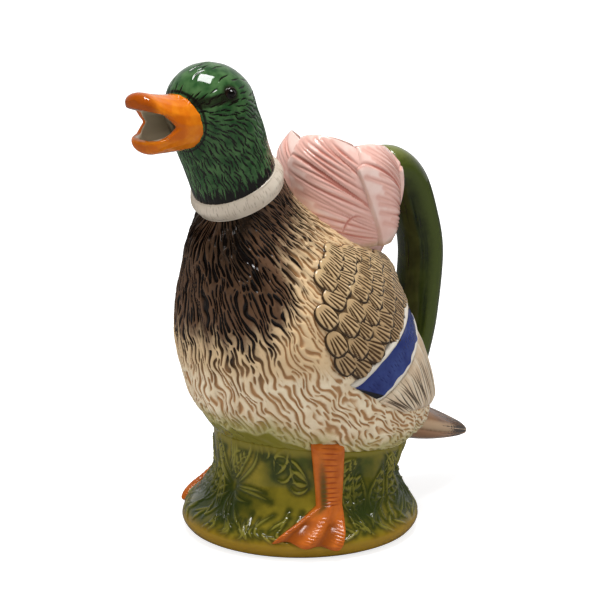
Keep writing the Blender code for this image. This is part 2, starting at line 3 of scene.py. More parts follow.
import bmesh
import bpy
import numpy as np
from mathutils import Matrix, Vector


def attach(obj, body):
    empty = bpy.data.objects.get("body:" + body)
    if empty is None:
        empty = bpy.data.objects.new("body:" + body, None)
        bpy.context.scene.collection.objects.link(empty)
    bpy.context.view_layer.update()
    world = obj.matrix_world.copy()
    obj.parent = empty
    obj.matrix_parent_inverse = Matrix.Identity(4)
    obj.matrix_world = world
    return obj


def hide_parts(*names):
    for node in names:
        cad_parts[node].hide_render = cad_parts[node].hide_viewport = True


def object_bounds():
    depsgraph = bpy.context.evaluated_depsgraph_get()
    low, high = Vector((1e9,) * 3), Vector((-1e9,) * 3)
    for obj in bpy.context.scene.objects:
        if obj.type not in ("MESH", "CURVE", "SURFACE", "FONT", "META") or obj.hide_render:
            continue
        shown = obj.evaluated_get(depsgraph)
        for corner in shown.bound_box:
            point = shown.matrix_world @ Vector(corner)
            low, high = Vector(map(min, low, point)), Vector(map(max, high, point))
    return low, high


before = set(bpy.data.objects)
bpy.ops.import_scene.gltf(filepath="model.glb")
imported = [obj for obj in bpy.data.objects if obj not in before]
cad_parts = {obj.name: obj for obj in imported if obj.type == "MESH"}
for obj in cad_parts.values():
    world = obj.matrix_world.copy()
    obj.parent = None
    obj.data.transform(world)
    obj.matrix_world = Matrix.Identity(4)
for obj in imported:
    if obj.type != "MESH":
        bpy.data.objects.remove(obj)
cad_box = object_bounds()


# Mound: the earth that the duck stands on, slip-cast in earthenware in one with the body, closed by a flat
# floor. Plants and grass stand out from it in low relief. A clear olive glaze pools dark round them and runs
# thin and amber over the rim.
mm = 0.001
rng = np.random.default_rng(7)


def linear(hex_colour):
    """An sRGB hex colour as the linear values that a shader takes."""
    parts = [int(hex_colour[i : i + 2], 16) / 255 for i in (0, 2, 4)]
    return (*(c / 12.92 if c <= 0.04045 else ((c + 0.055) / 1.055) ** 2.4 for c in parts), 1)


def add(tree, kind, *inputs, out=None, **settings):
    """Adds a node of a kind, named without its family, with its settings, and returns its output of that
    name, or its first. Inputs are values or links in the order of its sockets, or a dict of them by name."""
    families = ("GeometryNode", "ShaderNode", "FunctionNode", "Node")
    node = tree.nodes.new(next(family + kind for family in families if hasattr(bpy.types, family + kind)))
    for name, value in settings.items():
        setattr(node, name, value)
    sockets = [socket for socket in node.inputs if socket.enabled]
    pairs = zip(sockets, inputs)
    if inputs and isinstance(inputs[0], dict):
        pairs = [(next(s for s in sockets if s.name == name), value) for name, value in inputs[0].items()]
    for socket, value in pairs:
        if isinstance(value, bpy.types.NodeSocket):
            tree.links.new(value, socket)
        else:
            socket.default_value = value
    return next((s for s in node.outputs if s.enabled and out in (None, s.name)), None)


def loft(ovals):
    """A smooth form through ovals in millimetres: (front y, front z, back y, back z, half width).
    It returns a function of share along it, degrees round it (0 left, 90 back) and height above it."""
    ovals = np.array(ovals, float) * mm
    last = len(ovals) - 1

    def place(share, degrees, height=0.0):
        share, degrees, height = np.broadcast_arrays(share, degrees, height)
        i = np.clip(np.floor(share * last).astype(int), 0, last - 1)
        step = (share * last - i)[..., None]
        here, there = ovals[i], ovals[i + 1]
        before = np.where(i[..., None] > 0, ovals[i - 1], 2 * here - there)
        after = np.where(i[..., None] + 2 <= last, ovals[np.minimum(i + 2, last)], 2 * there - here)
        slope, next_slope = (there - before) / 2, (after - here) / 2
        bend = 3 * (there - here) - 2 * slope - next_slope
        twist = 2 * (here - there) + slope + next_slope
        oval = here + step * (slope + step * (bend + step * twist))
        front, back, half_width = oval[..., 0:2], oval[..., 2:4], oval[..., 4]
        length = np.linalg.norm(back - front, axis=-1)
        angle = np.radians(degrees)
        reach = (length / 2 + height) * np.sin(angle) / length
        yz = (front + back) / 2 + (back - front) * reach[..., None]
        return np.concatenate([((half_width + height) * np.cos(angle))[..., None], yz], axis=-1)

    return place


def leaning(y, z, half_length, half_width, degrees=0.0):
    """An oval in millimetres whose back is raised by an angle."""
    reach_y = half_length * math.cos(math.radians(degrees))
    reach_z = half_length * math.sin(math.radians(degrees))
    return (y - reach_y, z - reach_z, y + reach_y, z + reach_z, half_width)


def angles_round(columns, rows=1):
    """The degrees round a form of each point in its rows."""
    return np.tile(np.arange(columns) * 360 / columns, rows)


def rings(place, shares, columns):
    """Rows of points round a form, at shares along it."""
    return place(np.asarray(shares)[:, None], angles_round(columns))


def put(name, data):
    """An object of a mesh, a lamp or a lens, in the scene."""
    thing = bpy.data.objects.new(name, data)
    bpy.context.scene.collection.objects.link(thing)
    return thing


def skin(name, points, wrap=True, loop=False, caps=False):
    """An object of quads over rows of points. Wrap joins each row's ends, loop the last row to the first."""
    rows, columns = points.shape[:2]
    index = np.arange(rows * columns).reshape(rows, columns)
    ends = [index[0, ::-1].tolist(), index[-1].tolist()] if caps else []
    if wrap:
        index = np.concatenate([index, index[:, :1]], axis=1)
    if loop:
        index = np.concatenate([index, index[:1]], axis=0)
    corners = (index[:-1, :-1], index[:-1, 1:], index[1:, 1:], index[1:, :-1])
    quads = np.stack(corners, axis=-1).reshape(-1, 4).tolist()
    mesh = bpy.data.meshes.new(name)
    mesh.from_pydata(points.reshape(-1, 3), [], quads + ends)
    mesh.shade_smooth()
    return put(name, mesh)


def dab(piece, name, values):
    """Keeps one number, or one vector, for each point of a piece, for its material and its relief."""
    values = np.asarray(values, np.float32)
    vector = values.ndim > 1 and values.shape[-1] == 3 and values.size == 3 * len(piece.data.vertices)
    kind, field = ("FLOAT_VECTOR", "vector") if vector else ("FLOAT", "value")
    piece.data.attributes.new(name, kind, "POINT").data.foreach_set(field, values.ravel())


def ramp(values, low, high):
    """A smooth step from 0 at low to 1 at high."""
    t = np.clip((values - low) / (high - low), 0, 1)
    return t * t * (3 - 2 * t)


def new_tree(name, sizes):
    """A Geometry Nodes tree with named inputs for a piece, its sizes and its material, and their sockets."""
    tree = bpy.data.node_groups.new(name, "GeometryNodeTree")
    tree.is_modifier = True
    for label, kind in {"Geometry": "Geometry", **sizes, "Material": "Material"}.items():
        tree.interface.new_socket(label, in_out="INPUT", socket_type="NodeSocket" + kind)
    tree.interface.new_socket("Geometry", in_out="OUTPUT", socket_type="NodeSocketGeometry")
    return tree, add(tree, "GroupInput").node.outputs


def end_tree(tree, clay, sockets):
    """Nodes that end a tree with one plain mesh in its material."""
    clay = add(tree, "RealizeInstances", clay)
    clay = add(tree, "SetMaterial", {"Geometry": clay, "Material": sockets["Material"]})
    add(tree, "GroupOutput", clay)


def press(tree, clay, amount, sockets, share=1.0):
    """Nodes that push a skin in along its normals by a share of the tree's depth, and end the tree."""
    sink = add(tree, "Math", amount, sockets["Depth"], operation="MULTIPLY")
    sink = add(tree, "Math", sink, -share, operation="MULTIPLY")
    outward = add(tree, "InputNormal")
    sink = add(tree, "VectorMath", outward, sink, operation="SCALE")
    end_tree(tree, add(tree, "SetPosition", {"Geometry": clay, "Offset": sink}), sockets)


def score(tree, clay, lines, sockets):
    """Nodes that press lines into a skin, keep where they are, and end the tree."""
    away = add(tree, "Proximity", lines, out="Distance", target_element="EDGES")
    nearest = add(tree, "SampleNearest", lines)
    taper = add(tree, "InputNamedAttribute", "taper")
    taper = add(tree, "SampleIndex", {"Geometry": lines, "Value": taper, "Index": nearest})
    width = add(tree, "Math", taper, sockets["Half width"], operation="MULTIPLY")
    groove = add(tree, "MapRange", away, width, 0.0, interpolation_type="SMOOTHSTEP")
    groove = add(tree, "Math", groove, taper, operation="MULTIPLY")
    pool = add(tree, "MapRange", away, sockets["Pool width"], 0.0, interpolation_type="SMOOTHSTEP")
    for name, value in (("groove", groove), ("pool", pool)):
        clay = add(tree, "StoreNamedAttribute", {"Geometry": clay, "Name": name, "Value": value})
    press(tree, clay, add(tree, "InputNamedAttribute", "groove"), sockets)


groove_sizes = {"Half width": "Float", "Depth": "Float", "Pool width": "Float"}
scored_lines, sockets = new_tree("scored_lines", {"Lines": "Object", **groove_sizes})
guide_lines = add(scored_lines, "ObjectInfo", sockets["Lines"], out="Geometry")
score(scored_lines, sockets["Geometry"], guide_lines, sockets)


def settle(piece):
    """Keeps what a piece's modifiers make of it as its plain mesh."""
    graph = bpy.context.evaluated_depsgraph_get()
    made = piece.evaluated_get(graph)
    mesh = bpy.data.meshes.new_from_object(made, preserve_all_data_layers=True, depsgraph=graph)
    mesh.name = piece.name
    piece.modifiers.clear()
    piece.data = mesh


def run_nodes(piece, tree, inputs):
    """Runs a Geometry Nodes tree on a piece."""
    modifier = piece.modifiers.new(tree.name, "NODES")
    modifier.node_group = tree
    for item in tree.interface.items_tree:
        if item.in_out == "INPUT" and item.name in inputs:
            modifier[item.identifier] = inputs[item.name]
    settle(piece)


def engrave(piece, lines, half_width, depth, material, pool_width=2 * mm, weights=None):
    """Scores lines of points in a piece, each with its weight and fading at its ends."""
    points, edges, taper = [], [], []
    for line, weight in zip(lines, weights or [1] * len(lines)):
        edges += [(len(points) + k, len(points) + k + 1) for k in range(len(line) - 1)]
        points += [tuple(p) for p in line]
        taper += list(weight * np.sin(np.linspace(0.08, 0.92, len(line)) * np.pi))
    mesh = bpy.data.meshes.new("scratches")
    mesh.from_pydata(points, edges, [])
    guide = put("scratches", mesh)
    dab(guide, "taper", taper)
    sizes = {"Half width": half_width, "Depth": depth, "Pool width": pool_width}
    run_nodes(piece, scored_lines, {"Lines": guide, "Material": material, **sizes})
    bpy.data.objects.remove(guide)


def glaze(name, thick, thin, *washes, roughness=0.1, patch=9 * mm, marks=None):
    """Clear lead-free glaze fired over painted underglaze colours on white earthenware: a wet, mirror-like
    skin over soft-edged brushwork. Each wash is (point value, from, to, colour, only where this value is).
    Marks adds nodes for finer strokes than the points can hold, and the first of them is pressed in."""
    material = bpy.data.materials.new(name)
    material.use_nodes = True
    tree = material.node_tree
    shader = tree.nodes["Principled BSDF"]
    place = add(tree, "TexCoord", out="Object")
    cloud = add(tree, "TexNoise", place, 1 / patch, 4.0)
    brush = add(tree, "TexNoise", place, 1 / (1.6 * mm), 3.0)
    thinness = add(tree, "MapRange", cloud, 0.38, 0.66)
    colour = add(tree, "Mix", thinness, linear(thick), linear(thin), data_type="RGBA")
    uneven = add(tree, "Math", brush, 0.5, operation="SUBTRACT")
    strokes = marks(tree, place) if marks else {}
    for value, low, high, hex_colour, *within in washes:
        amount = strokes.get(value) or add(tree, "Attribute", out="Fac", attribute_name=value)
        ragged = 0.35 * abs(high - low)
        amount = add(tree, "Math", uneven, ragged, amount, operation="MULTIPLY_ADD")
        amount = add(tree, "MapRange", amount, low, high, interpolation_type="SMOOTHSTEP")
        if within:
            only = add(tree, "Attribute", out="Fac", attribute_name=within[0])
            amount = add(tree, "Math", amount, only, operation="MULTIPLY")
        colour = add(tree, "Mix", amount, colour, linear(hex_colour), data_type="RGBA")
    tree.links.new(colour, shader.inputs["Base Color"])
    ripple = add(tree, "TexNoise", place, 1 / (4 * mm), 1.0)
    bump = add(tree, "Bump", {"Height": ripple, "Strength": 0.25, "Distance": 0.15 * mm})
    for stroke in list(strokes.values())[:1]:
        pressed = {"Height": stroke, "Strength": 0.6, "Distance": 0.5 * mm, "Normal": bump}
        bump = add(tree, "Bump", pressed, invert=True)
    tree.links.new(bump, shader.inputs["Normal"])
    shader.inputs["Roughness"].default_value = roughness
    shader.inputs["IOR"].default_value = 1.52
    return material


def furrowed(form, tufts, depth, start, fading, sway, waves, pulse_length):
    """A form parted into swaying tufts by soft furrows that come and go, as a function of share and turn."""

    def place(share, turn):
        swayed = sway * np.sin(2 * np.pi * (waves[0] * share + waves[1] * turn))
        fade = np.clip(np.minimum(share - start, 1 - share) / fading, 0, 1)
        tuft = np.floor(tufts * turn)
        pulse = 0.5 - 0.5 * np.cos(2 * np.pi * share / pulse_length + np.pi * tuft)
        furrow = np.sin(np.pi * (tufts * turn - tuft)) ** 2
        return form(share, 360 * turn + swayed * fade, -depth * fade * (0.35 + 0.65 * pulse) * furrow)

    return place


waist = (-45.5, 55.0, 60.0, 40.0, 46.0)
mound_rings = ((0, 0, 54.5), (0, 2.1, 58.4), (0, 7, 61), (0, 13.3, 58.22), (2, 21, 52.5), (4, 32, 47.5))
mound = loft([leaning(y, z, radius, radius) for y, z, radius in mound_rings] + [waist])
well = loft((leaning(0, 5, 43.5, 43.5), leaning(4, 32, 43.5, 43.5), (-41.7, 53.3, 56.2, 41.7, 42)))
mound_columns, well_rows = 480, 6
mound_shares = np.concatenate([np.linspace(0, 0.3, 14), np.linspace(0.3, 1, 110)[1:]])
turf = furrowed(mound, 18, 1.1 * mm, start=0.38, fading=0.1, sway=5, waves=(1.2, 5), pulse_length=0.4)
outside = turf(mound_shares[:, None], np.arange(mound_columns) / mound_columns)
inside = rings(well, np.linspace(1, 0, well_rows), mound_columns)
plinth = skin("olive_mound", np.concatenate([outside, inside]), caps=True)
plinth_share = np.repeat(np.concatenate([mound_shares, np.full(well_rows, 0.9)]), mound_columns)
plinth_angle = angles_round(mound_columns, len(mound_shares) + well_rows)

mound_slope = 62 * mm
mound_girth = 50 * mm


def on_mound(share, degrees, turn, sketch):
    """A flat sketch in millimetres, turned and laid on the mound round a place on it."""
    sketch = np.asarray(sketch, float) * mm
    turn = math.radians(turn)
    right = sketch[:, 0] * math.cos(turn) - sketch[:, 1] * math.sin(turn)
    up = sketch[:, 0] * math.sin(turn) + sketch[:, 1] * math.cos(turn)
    return turf(share + up / mound_slope, (degrees + np.degrees(right / mound_girth)) / 360)


def blade(length, bow, start=0.0):
    """A blade of grass that bows to one side."""
    t = np.linspace(0, 1, 36)
    return np.stack([bow * t * t, start + (length - start) * t], axis=-1)


def leaf(length, width):
    """A pointed leaf: its two edges, its rib and its veins."""
    t = np.linspace(0, 1, 40)
    half = width / 2 * np.sin(np.pi * t**0.8)
    lines = [np.stack([side * half, t * length], axis=-1) for side in (1, -1, 0)]
    for root in (0.22, 0.4, 0.58, 0.74):
        for side in (1, -1):
            reach = side * width * 0.42 * math.sin(math.pi * (root + 0.12) ** 0.8)
            lines.append(np.stack([reach * t, (root + 0.14 * np.sqrt(t)) * length], axis=-1))
    return lines


plant_centres, plant_share, leaf_group = (-90, 30, 150), 0.80, 86
fan_turns = (-88, -62, -38, -12, 14, 40, 66, 92, 128, 160, 200, 235)
fan_lengths = (22, 19, 25, 18, 23, 20, 25, 19, 14, 16, 15, 14)
sprig_leaves = ((17, 0.95, -40), (24, 0.96, -75), (31, 0.93, -110), (22, 0.89, -70), (30, 0.87, -95))
mound_lines = []
for centre in plant_centres:
    for k, (turn, long) in enumerate(zip(fan_turns, fan_lengths)):
        mound_lines.append(on_mound(plant_share, centre, turn, blade(long, 4 * (-1) ** k, 3)))
        if k % 3 == 0:
            shorter = blade(long * 0.8, 3 * (-1) ** k, 3)
            mound_lines.append(on_mound(plant_share, centre, turn + 8, shorter))
    leaves = [(away, share, turn, leaf(12, 6)[:3]) for away, share, turn in sprig_leaves]
    leaves += [(away, 0.62, 14 * math.sin(away), leaf(19, 8)) for away in (75, 92, 108, 84)]
    leaves += [(away, 0.86, -60, leaf(13, 6)) for away in (66, 98, 116)]
    for away, share, turn, lines in leaves:
        mound_lines += [on_mound(share, centre + away, turn, line) for line in lines]
grass_blades = 150
for k in range(grass_blades):
    degrees = k * 720 / grass_blades + rng.uniform(-2, 2)
    share = rng.uniform(0.36, 0.52)
    turn = rng.uniform(-42, 42)
    mound_lines.append(on_mound(share, degrees, turn, blade(rng.uniform(8, 14), rng.uniform(-3, 3))))

olive_glaze = glaze(
    "olive_glazed_earthenware", "454b16", "958328",
    ("pool", 0.25, 1.25, "2e3712"), ("groove", 0.2, 0.9, "857e32"), ("lobe", 0.0, 1.2, "303b18"),
    ("rim", 0.0, 1.0, "9b7920"), ("top", 0.1, 0.9, "7a7029"),
    roughness=0.06, patch=26 * mm,
)
rim_ends = 0.43 + 0.02 * np.sin(np.radians(6 * plinth_angle))
dab(plinth, "rim", 1 - ramp(plinth_share, rim_ends - 0.16, rim_ends + 0.08))
dab(plinth, "top", ramp(plinth_share, 0.95, 1.0))
lobes = []
for middle in [centre + away for centre in plant_centres for away in (0, leaf_group)]:
    lobes.append(np.exp(-((((plinth_angle - middle + 180) % 360 - 180) / 22) ** 2)))
dab(plinth, "lobe", np.max(lobes, axis=0) * np.exp(-(((plinth_share - 0.66) / 0.2) ** 2)))
engrave(plinth, mound_lines, 1.4 * mm, -1.0 * mm, olive_glaze, 5 * mm)
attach(plinth, "root")
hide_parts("plinth")


# Body: one hollow slip-cast shell from the waist to the neck, with the filling hole in its back. The plumage
# is hundreds of short wavy grooves cut in the mould. Brown stain runs down from the neck over ivory glaze.
wall = 4
belly_ovals = (
    waist,
    (-52.5, 63, 78, 50, 50),
    (-63, 78, 76, 72, 54),
    (-70, 105, 63, 100, 55),
    (-72.5, 124, 53, 125, 48),
    (-72.5, 145, 44, 143, 37),
    (-70.5, 158, -4, 171, 25),
    (-60.9, 169.2, -21.9, 190.8, 22.5),
)


def points_of(piece):
    flat = np.empty(len(piece.data.vertices) * 3, np.float32)
    piece.data.vertices.foreach_get("co", flat)
    return flat.reshape(-1, 3).astype(float)


def thinned(oval, wall):
    """The oval drawn in by a wall all round."""
    front, back = np.array(oval[0:2]), np.array(oval[2:4])
    inward = (back - front) / np.linalg.norm(back - front) * wall
    return (*(front + inward), *(back - inward), oval[4] - wall)


body = loft(belly_ovals)
body_inside = loft([thinned(oval, wall) for oval in belly_ovals])
plumes = furrowed(body, 32, 1.3 * mm, start=0, fading=0.07, sway=4, waves=(2.5, 3), pulse_length=0.22)
body_columns = 470
body_turns = np.arange(body_columns) / body_columns
body_turns = (body_turns - 0.06 * np.cos(2 * np.pi * body_turns)) % 1
body_shares = np.linspace(-0.015, 1.01, 196)
inner_shares = np.linspace(1.01, -0.015, 14)
outside = plumes(body_shares[:, None], body_turns)
inside = body_inside(inner_shares[:, None], 360 * body_turns)
body_shell = skin("feathered_body", np.concatenate([outside, inside]), loop=True)

locks_round = 122.0
lock_length = 7 * mm
lock_sizes = {"Wave": 2.5, "Waves in a metre": 1 / (13 * mm), "Groove share": 0.3, "Pool share": 0.42}


def lock_marks(tree, place, hair, plumage, close, sizes):
    """Nodes, for a mesh or a material, that part the plumage into short wavy locks: the grooves between them
    and the wider hollows round the grooves. Where the flow runs close, every other one is kept."""
    parts = add(tree, "SeparateXYZ", hair).node.outputs
    lane = add(tree, "Math", parts["Y"], parts["X"], operation="ARCTAN2")
    lane = add(tree, "Math", lane, locks_round / (2 * math.pi), operation="MULTIPLY")
    stretched = []
    for wide, long in ((9 * mm, 1.4 * lock_length), (3.4 * mm, lock_length)):
        way = add(tree, "VectorMath", hair, (1 / wide, 1 / wide, 1 / long), operation="MULTIPLY")
        stretched.append(add(tree, "TexNoise", way, 1.0, 0.5))
    bend = add(tree, "TexNoise", place, sizes["Waves in a metre"], 1.0)
    bend = add(tree, "Math", bend, stretched[0], operation="ADD")
    bend = add(tree, "Math", bend, sizes["Wave"], lane, operation="MULTIPLY_ADD")
    edge = add(tree, "Math", stretched[0], 2.0, close, operation="MULTIPLY_ADD")
    kept = add(tree, "Math", edge, 1.5, operation="GREATER_THAN")
    kept = add(tree, "Math", kept, -0.5, 1.0, operation="MULTIPLY_ADD")
    bend = add(tree, "Math", bend, kept, operation="MULTIPLY")
    off = add(tree, "Math", bend, 0.5, operation="PINGPONG")
    beside = add(tree, "Math", 0.5, off, operation="SUBTRACT")
    edge = add(tree, "Math", edge, 1.5, operation="SUBTRACT")
    edge = add(tree, "Math", edge, operation="ABSOLUTE")
    edge = add(tree, "MapRange", {"Value": edge, "From Max": 0.1, "To Min": 0.2})
    plumage = add(tree, "Math", plumage, edge, operation="MULTIPLY")
    marks = {}
    for name, share in (("groove", sizes["Groove share"]), ("pool", sizes["Pool share"])):
        both = []
        for away, first, last in ((off, 0.41, 0.53), (beside, 0.57, 0.45)):
            fading = add(tree, "MapRange", stretched[1], first, last, interpolation_type="SMOOTHSTEP")
            fading = add(tree, "Math", fading, plumage, operation="MULTIPLY")
            reach = add(tree, "Math", fading, share, 0.001, operation="MULTIPLY_ADD")
            near = add(tree, "MapRange", away, reach, 0.0, interpolation_type="SMOOTHSTEP")
            both.append(add(tree, "Math", near, fading, operation="MULTIPLY"))
        marks[name] = add(tree, "Math", *both, operation="MAXIMUM")
    return marks


lock_reads = (("hair", "FLOAT_VECTOR", "Vector"), ("plumage", "FLOAT", "Fac"), ("close", "FLOAT", "Fac"))
locks, sockets = new_tree("flowing_locks", {**dict.fromkeys(lock_sizes, "Float"), "Depth": "Float"})
reads = [add(locks, "InputNamedAttribute", name, data_type=kind) for name, kind, _ in lock_reads]
marks = lock_marks(locks, add(locks, "InputPosition"), *reads, sockets)
both = add(locks, "Math", marks["groove"], marks["pool"], operation="ADD")
press(locks, sockets["Geometry"], both, sockets, share=0.5)


def painted_locks(tree, place):
    reads = [add(tree, "Attribute", out=out, attribute_name=name) for name, _, out in lock_reads]
    return lock_marks(tree, place, *reads, lock_sizes)


neck_root, tail_root = np.array((0, -43, 175)) * mm, np.array((0, 100, 45)) * mm
spine = (tail_root - neck_root) / np.linalg.norm(tail_root - neck_root)
spine_side = np.array((1, 0, 0)), np.cross(spine, (1, 0, 0))
flow_radius = 60


def hair_lines(points):
    """Where points lie in the plumage's flow from neck to tail: two ways across the spine, at one distance
    from it, and one along."""
    off = points - neck_root
    across = np.stack([off @ side for side in spine_side], axis=-1)
    across *= flow_radius * mm / np.linalg.norm(across, axis=-1, keepdims=True)
    along = (np.linalg.norm(off, axis=-1) - np.linalg.norm(points - tail_root, axis=-1)) / 2
    return np.concatenate([across, along[..., None]], axis=-1)


body_xyz = points_of(body_shell)
body_z = body_xyz[:, 2] / mm
on_outside = np.arange(len(body_xyz)) < outside.size / 3
body_angle = np.tile(360 * body_turns, len(body_shares) + len(inner_shares))
body_angle = np.where(body_angle > 180, body_angle - 360, body_angle)
near_angle = np.where(np.abs(body_angle) <= 90, body_angle, np.sign(body_angle) * 180 - body_angle)
hair = hair_lines(body_xyz)
lock_turn = np.arctan2(hair[:, 1], hair[:, 0])
stain_angles, stain_levels = (-90, -60, -45, -37, -28, -12, 10, 60), (106, 104, 110, 122, 136, 147, 156, 170)
stain_ends = np.interp(near_angle, stain_angles, stain_levels) + 3 * np.sin(41 * lock_turn + 1)
stain_ends = stain_ends + 2.5 * np.sin(67 * lock_turn) * np.sin(13 * lock_turn)
ink_reach = np.interp(near_angle, (-90, -42, -20), (24, 20, 2))
neck_darkening_level = np.interp(near_angle, (-90, -60, -40), (0.35, 0.75, 1))
glaze_ends = np.interp(near_angle, (-90, -60, -50, -40, -20, 90), (62.5, 62, 58, 53, 46, 40))
for depth, waves in ((0.8, 17), (0.7, 29)):
    glaze_ends = glaze_ends + depth * np.sin(np.radians(waves * body_angle))
olive = 1 - ramp(body_z, glaze_ends - 3, glaze_ends + 2.5)
body_paint = {
    "plumage": ramp(1 - olive, 0.4, 0.9),
    "stain": ramp(body_z, stain_ends - 10, stain_ends + 22),
    "ink": ramp(body_z, stain_ends - ink_reach, stain_ends + 8),
    # The breast glaze is darker towards the neck, most at the front.
    "soot": ramp(body_z - stain_ends, 10, 50) * neck_darkening_level,
    "olive": olive,
    "tint": 0.7 * (1 - ramp(body_z, glaze_ends, glaze_ends + 16)),
    "tawny": ramp(body_z, 84, 104),
}
for name, values in body_paint.items():
    dab(body_shell, name, np.where(on_outside, values, 0))
off_spine = np.linalg.norm(np.cross(body_xyz - neck_root, spine), axis=1) / mm
dab(body_shell, "close", np.clip((40 - off_spine) / 20 + 0.5, 0, 1))
dab(body_shell, "hair", hair)
feather_glaze = glaze(
    "stained_ivory_glazed_earthenware", "e2ccaa", "eedec0",
    ("tawny", 0.0, 1.0, "dabc92"), ("pool", 0.12, 0.9, "caa276"), ("groove", 0.15, 1.0, "aa7d52"),
    ("tint", 0.0, 1.0, "a09a55"), ("stain", 0.1, 0.9, "624733"), ("pool", 0.05, 0.6, "35251a", "stain"),
    ("soot", 0.0, 1.15, "21180f"), ("groove", 0.1, 0.5, "120c09", "ink"), ("olive", 0.2, 0.8, "7d762f"),
    roughness=0.2, marks=painted_locks,
)
run_nodes(body_shell, locks, {**lock_sizes, "Depth": 0.95 * mm, "Material": feather_glaze})

seat = body(0.765, 90.0) / mm
flower_height = 43.3
flower_curve = ((-34, 0), (-19.04, 0.19), (-8.16, 0.55), (5.196, 0.93), (23.815, 1.05), (flower_height, 0.9))


def flower_reach(swell, inset=0.0):
    """Half the flower's length and half its width in millimetres, where it swells by this much."""
    return 17 + 13.5 * swell - inset, 16.5 + 11.5 * swell - inset


def open_hole(piece, inside):
    """Takes out the faces inside a hole and joins the outer wall to the inner one round its edge."""
    mesh = bmesh.new()
    mesh.from_mesh(piece.data)
    gone = [face for face in mesh.faces if inside[[v.index for v in face.verts]].any()]
    bmesh.ops.delete(mesh, geom=gone, context="FACES")
    bmesh.ops.bridge_loops(mesh, edges=[edge for edge in mesh.edges if edge.is_boundary])
    mesh.to_mesh(piece.data)
    mesh.free()


rises, swells = np.array(flower_curve).T
hole_length, hole_width = flower_reach(np.interp(body_z, seat[2] + rises, swells), 2)
across_hole = (body_xyz[:, 0] / mm / hole_width) ** 2
along_hole = ((body_xyz[:, 1] / mm - seat[1]) / hole_length) ** 2
open_hole(body_shell, (across_hole + along_hole < 1) & (body_z > seat[2] - 30))
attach(body_shell, "root")
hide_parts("body_shell")


# Neck ring: the drake's white band, a rounded bead of clay cast between body and head. It is left white under
# clear glaze, and fine upright brush marks show in it.
neck = belly_ovals[-1]
lean = math.degrees(math.atan2(neck[3] - neck[1], neck[2] - neck[0]))
neck_up = np.array((-math.sin(math.radians(lean)), math.cos(math.radians(lean))))
band_foot, band_height, band_bulge, band_columns = 0.3, 8.5, 1.8, 420
band_strokes, stroke_points = 150, 6


def raised(oval, distance):
    """The oval moved up along the neck."""
    return (*(np.array(oval[0:2]) + neck_up * distance), *(np.array(oval[2:4]) + neck_up * distance), oval[4])


band_ovals = []
for share in (-0.06, 0, 0.2, 0.5, 0.8, 1, 1.06):
    swell = band_bulge * (0.15 + 0.85 * math.sin(math.pi * min(max(share, 0), 1)))
    band_ovals.append(raised(thinned(neck, -swell), band_foot + band_height * share))
band = loft(band_ovals)
band_bore = loft([raised(thinned(neck, wall), band_foot + band_height * share) for share in (-0.06, 1.06)])
outside = rings(band, np.linspace(0, 1, 30), band_columns)
inside = rings(band_bore, np.linspace(1, 0, 3), band_columns)
neck_ring = skin("white_neck_ring", np.concatenate([outside, inside]), loop=True)
band_lines = []
for k in range(band_strokes):
    low, high = sorted(rng.uniform(0.08, 0.95, 2))
    degrees = k * 360 / band_strokes + rng.uniform(-1, 1) + np.linspace(0, rng.uniform(-2, 2), stroke_points)
    band_lines.append(band(np.linspace(low, max(high, low + 0.3), stroke_points), degrees))
white_wash = ("groove", 0.2, 1.0, "a39585")
white_glaze = glaze("white_glazed_earthenware", "c4b6a4", "d1c5b4", white_wash, roughness=0.12)
engrave(neck_ring, band_lines, 0.45 * mm, 0.16 * mm, white_glaze)
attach(neck_ring, "root")
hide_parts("neck_ring")


# Head: a hollow cast shell, open to the neck below and to the bill in front. Short wavy grooves are cut over
# it, the green glaze is bottle-dark and glossy, and manganese brown gathers in the grooves and at the eyes.
foot_oval = np.array(raised(neck, 9.1))
head_foot = (foot_oval[0:2] + foot_oval[2:4]) / 2
neck_radius, skull_length, skull_width, skull_height = 21.6, 23.7, 21.7, 24.1
mouth_z, mouth_half_width, mouth_half_height = 220, 9.6, 8.3


def head_ovals(wall=0.0):
    y, z = head_foot
    skull_y, skull_z = y - 14.9, z + 34.8
    ovals = [
        leaning(*(head_foot - neck_up * 0.5), neck_radius, neck_radius, lean),
        leaning(y - 4.8, z + 11.3, neck_radius, neck_radius, lean * 0.8),
        leaning(y - 9.85, z + 23.05, 22.86, 21.66, lean * 0.45),
        leaning(skull_y, skull_z, skull_length, skull_width, lean * 0.1),
    ]
    ovals = [thinned(oval, wall) for oval in ovals]
    for degrees in (27, 48, 67, 85):
        rise, reach = math.sin(math.radians(degrees)), math.cos(math.radians(degrees))
        spot = skull_y - 1.9 * rise, skull_z + (skull_height - wall) * rise
        ovals.append(leaning(*spot, (skull_length - wall) * reach, (skull_width - wall) * reach))
    return ovals


head = loft(head_ovals())
head_columns = 400
head_shares = np.linspace(0, 1, 200)
inner_shares = np.linspace(1, 0, 12)
inside = rings(loft(head_ovals(wall)), inner_shares, head_columns)
head_shell = skin("green_head", np.concatenate([inside, rings(head, head_shares, head_columns)]), caps=True)
head_xyz = points_of(head_shell)
head_x, head_y, head_z = head_xyz.T / mm
on_outside = np.arange(len(head_xyz)) >= len(inner_shares) * head_columns
head_share = np.repeat(np.concatenate([inner_shares, head_shares]), head_columns)

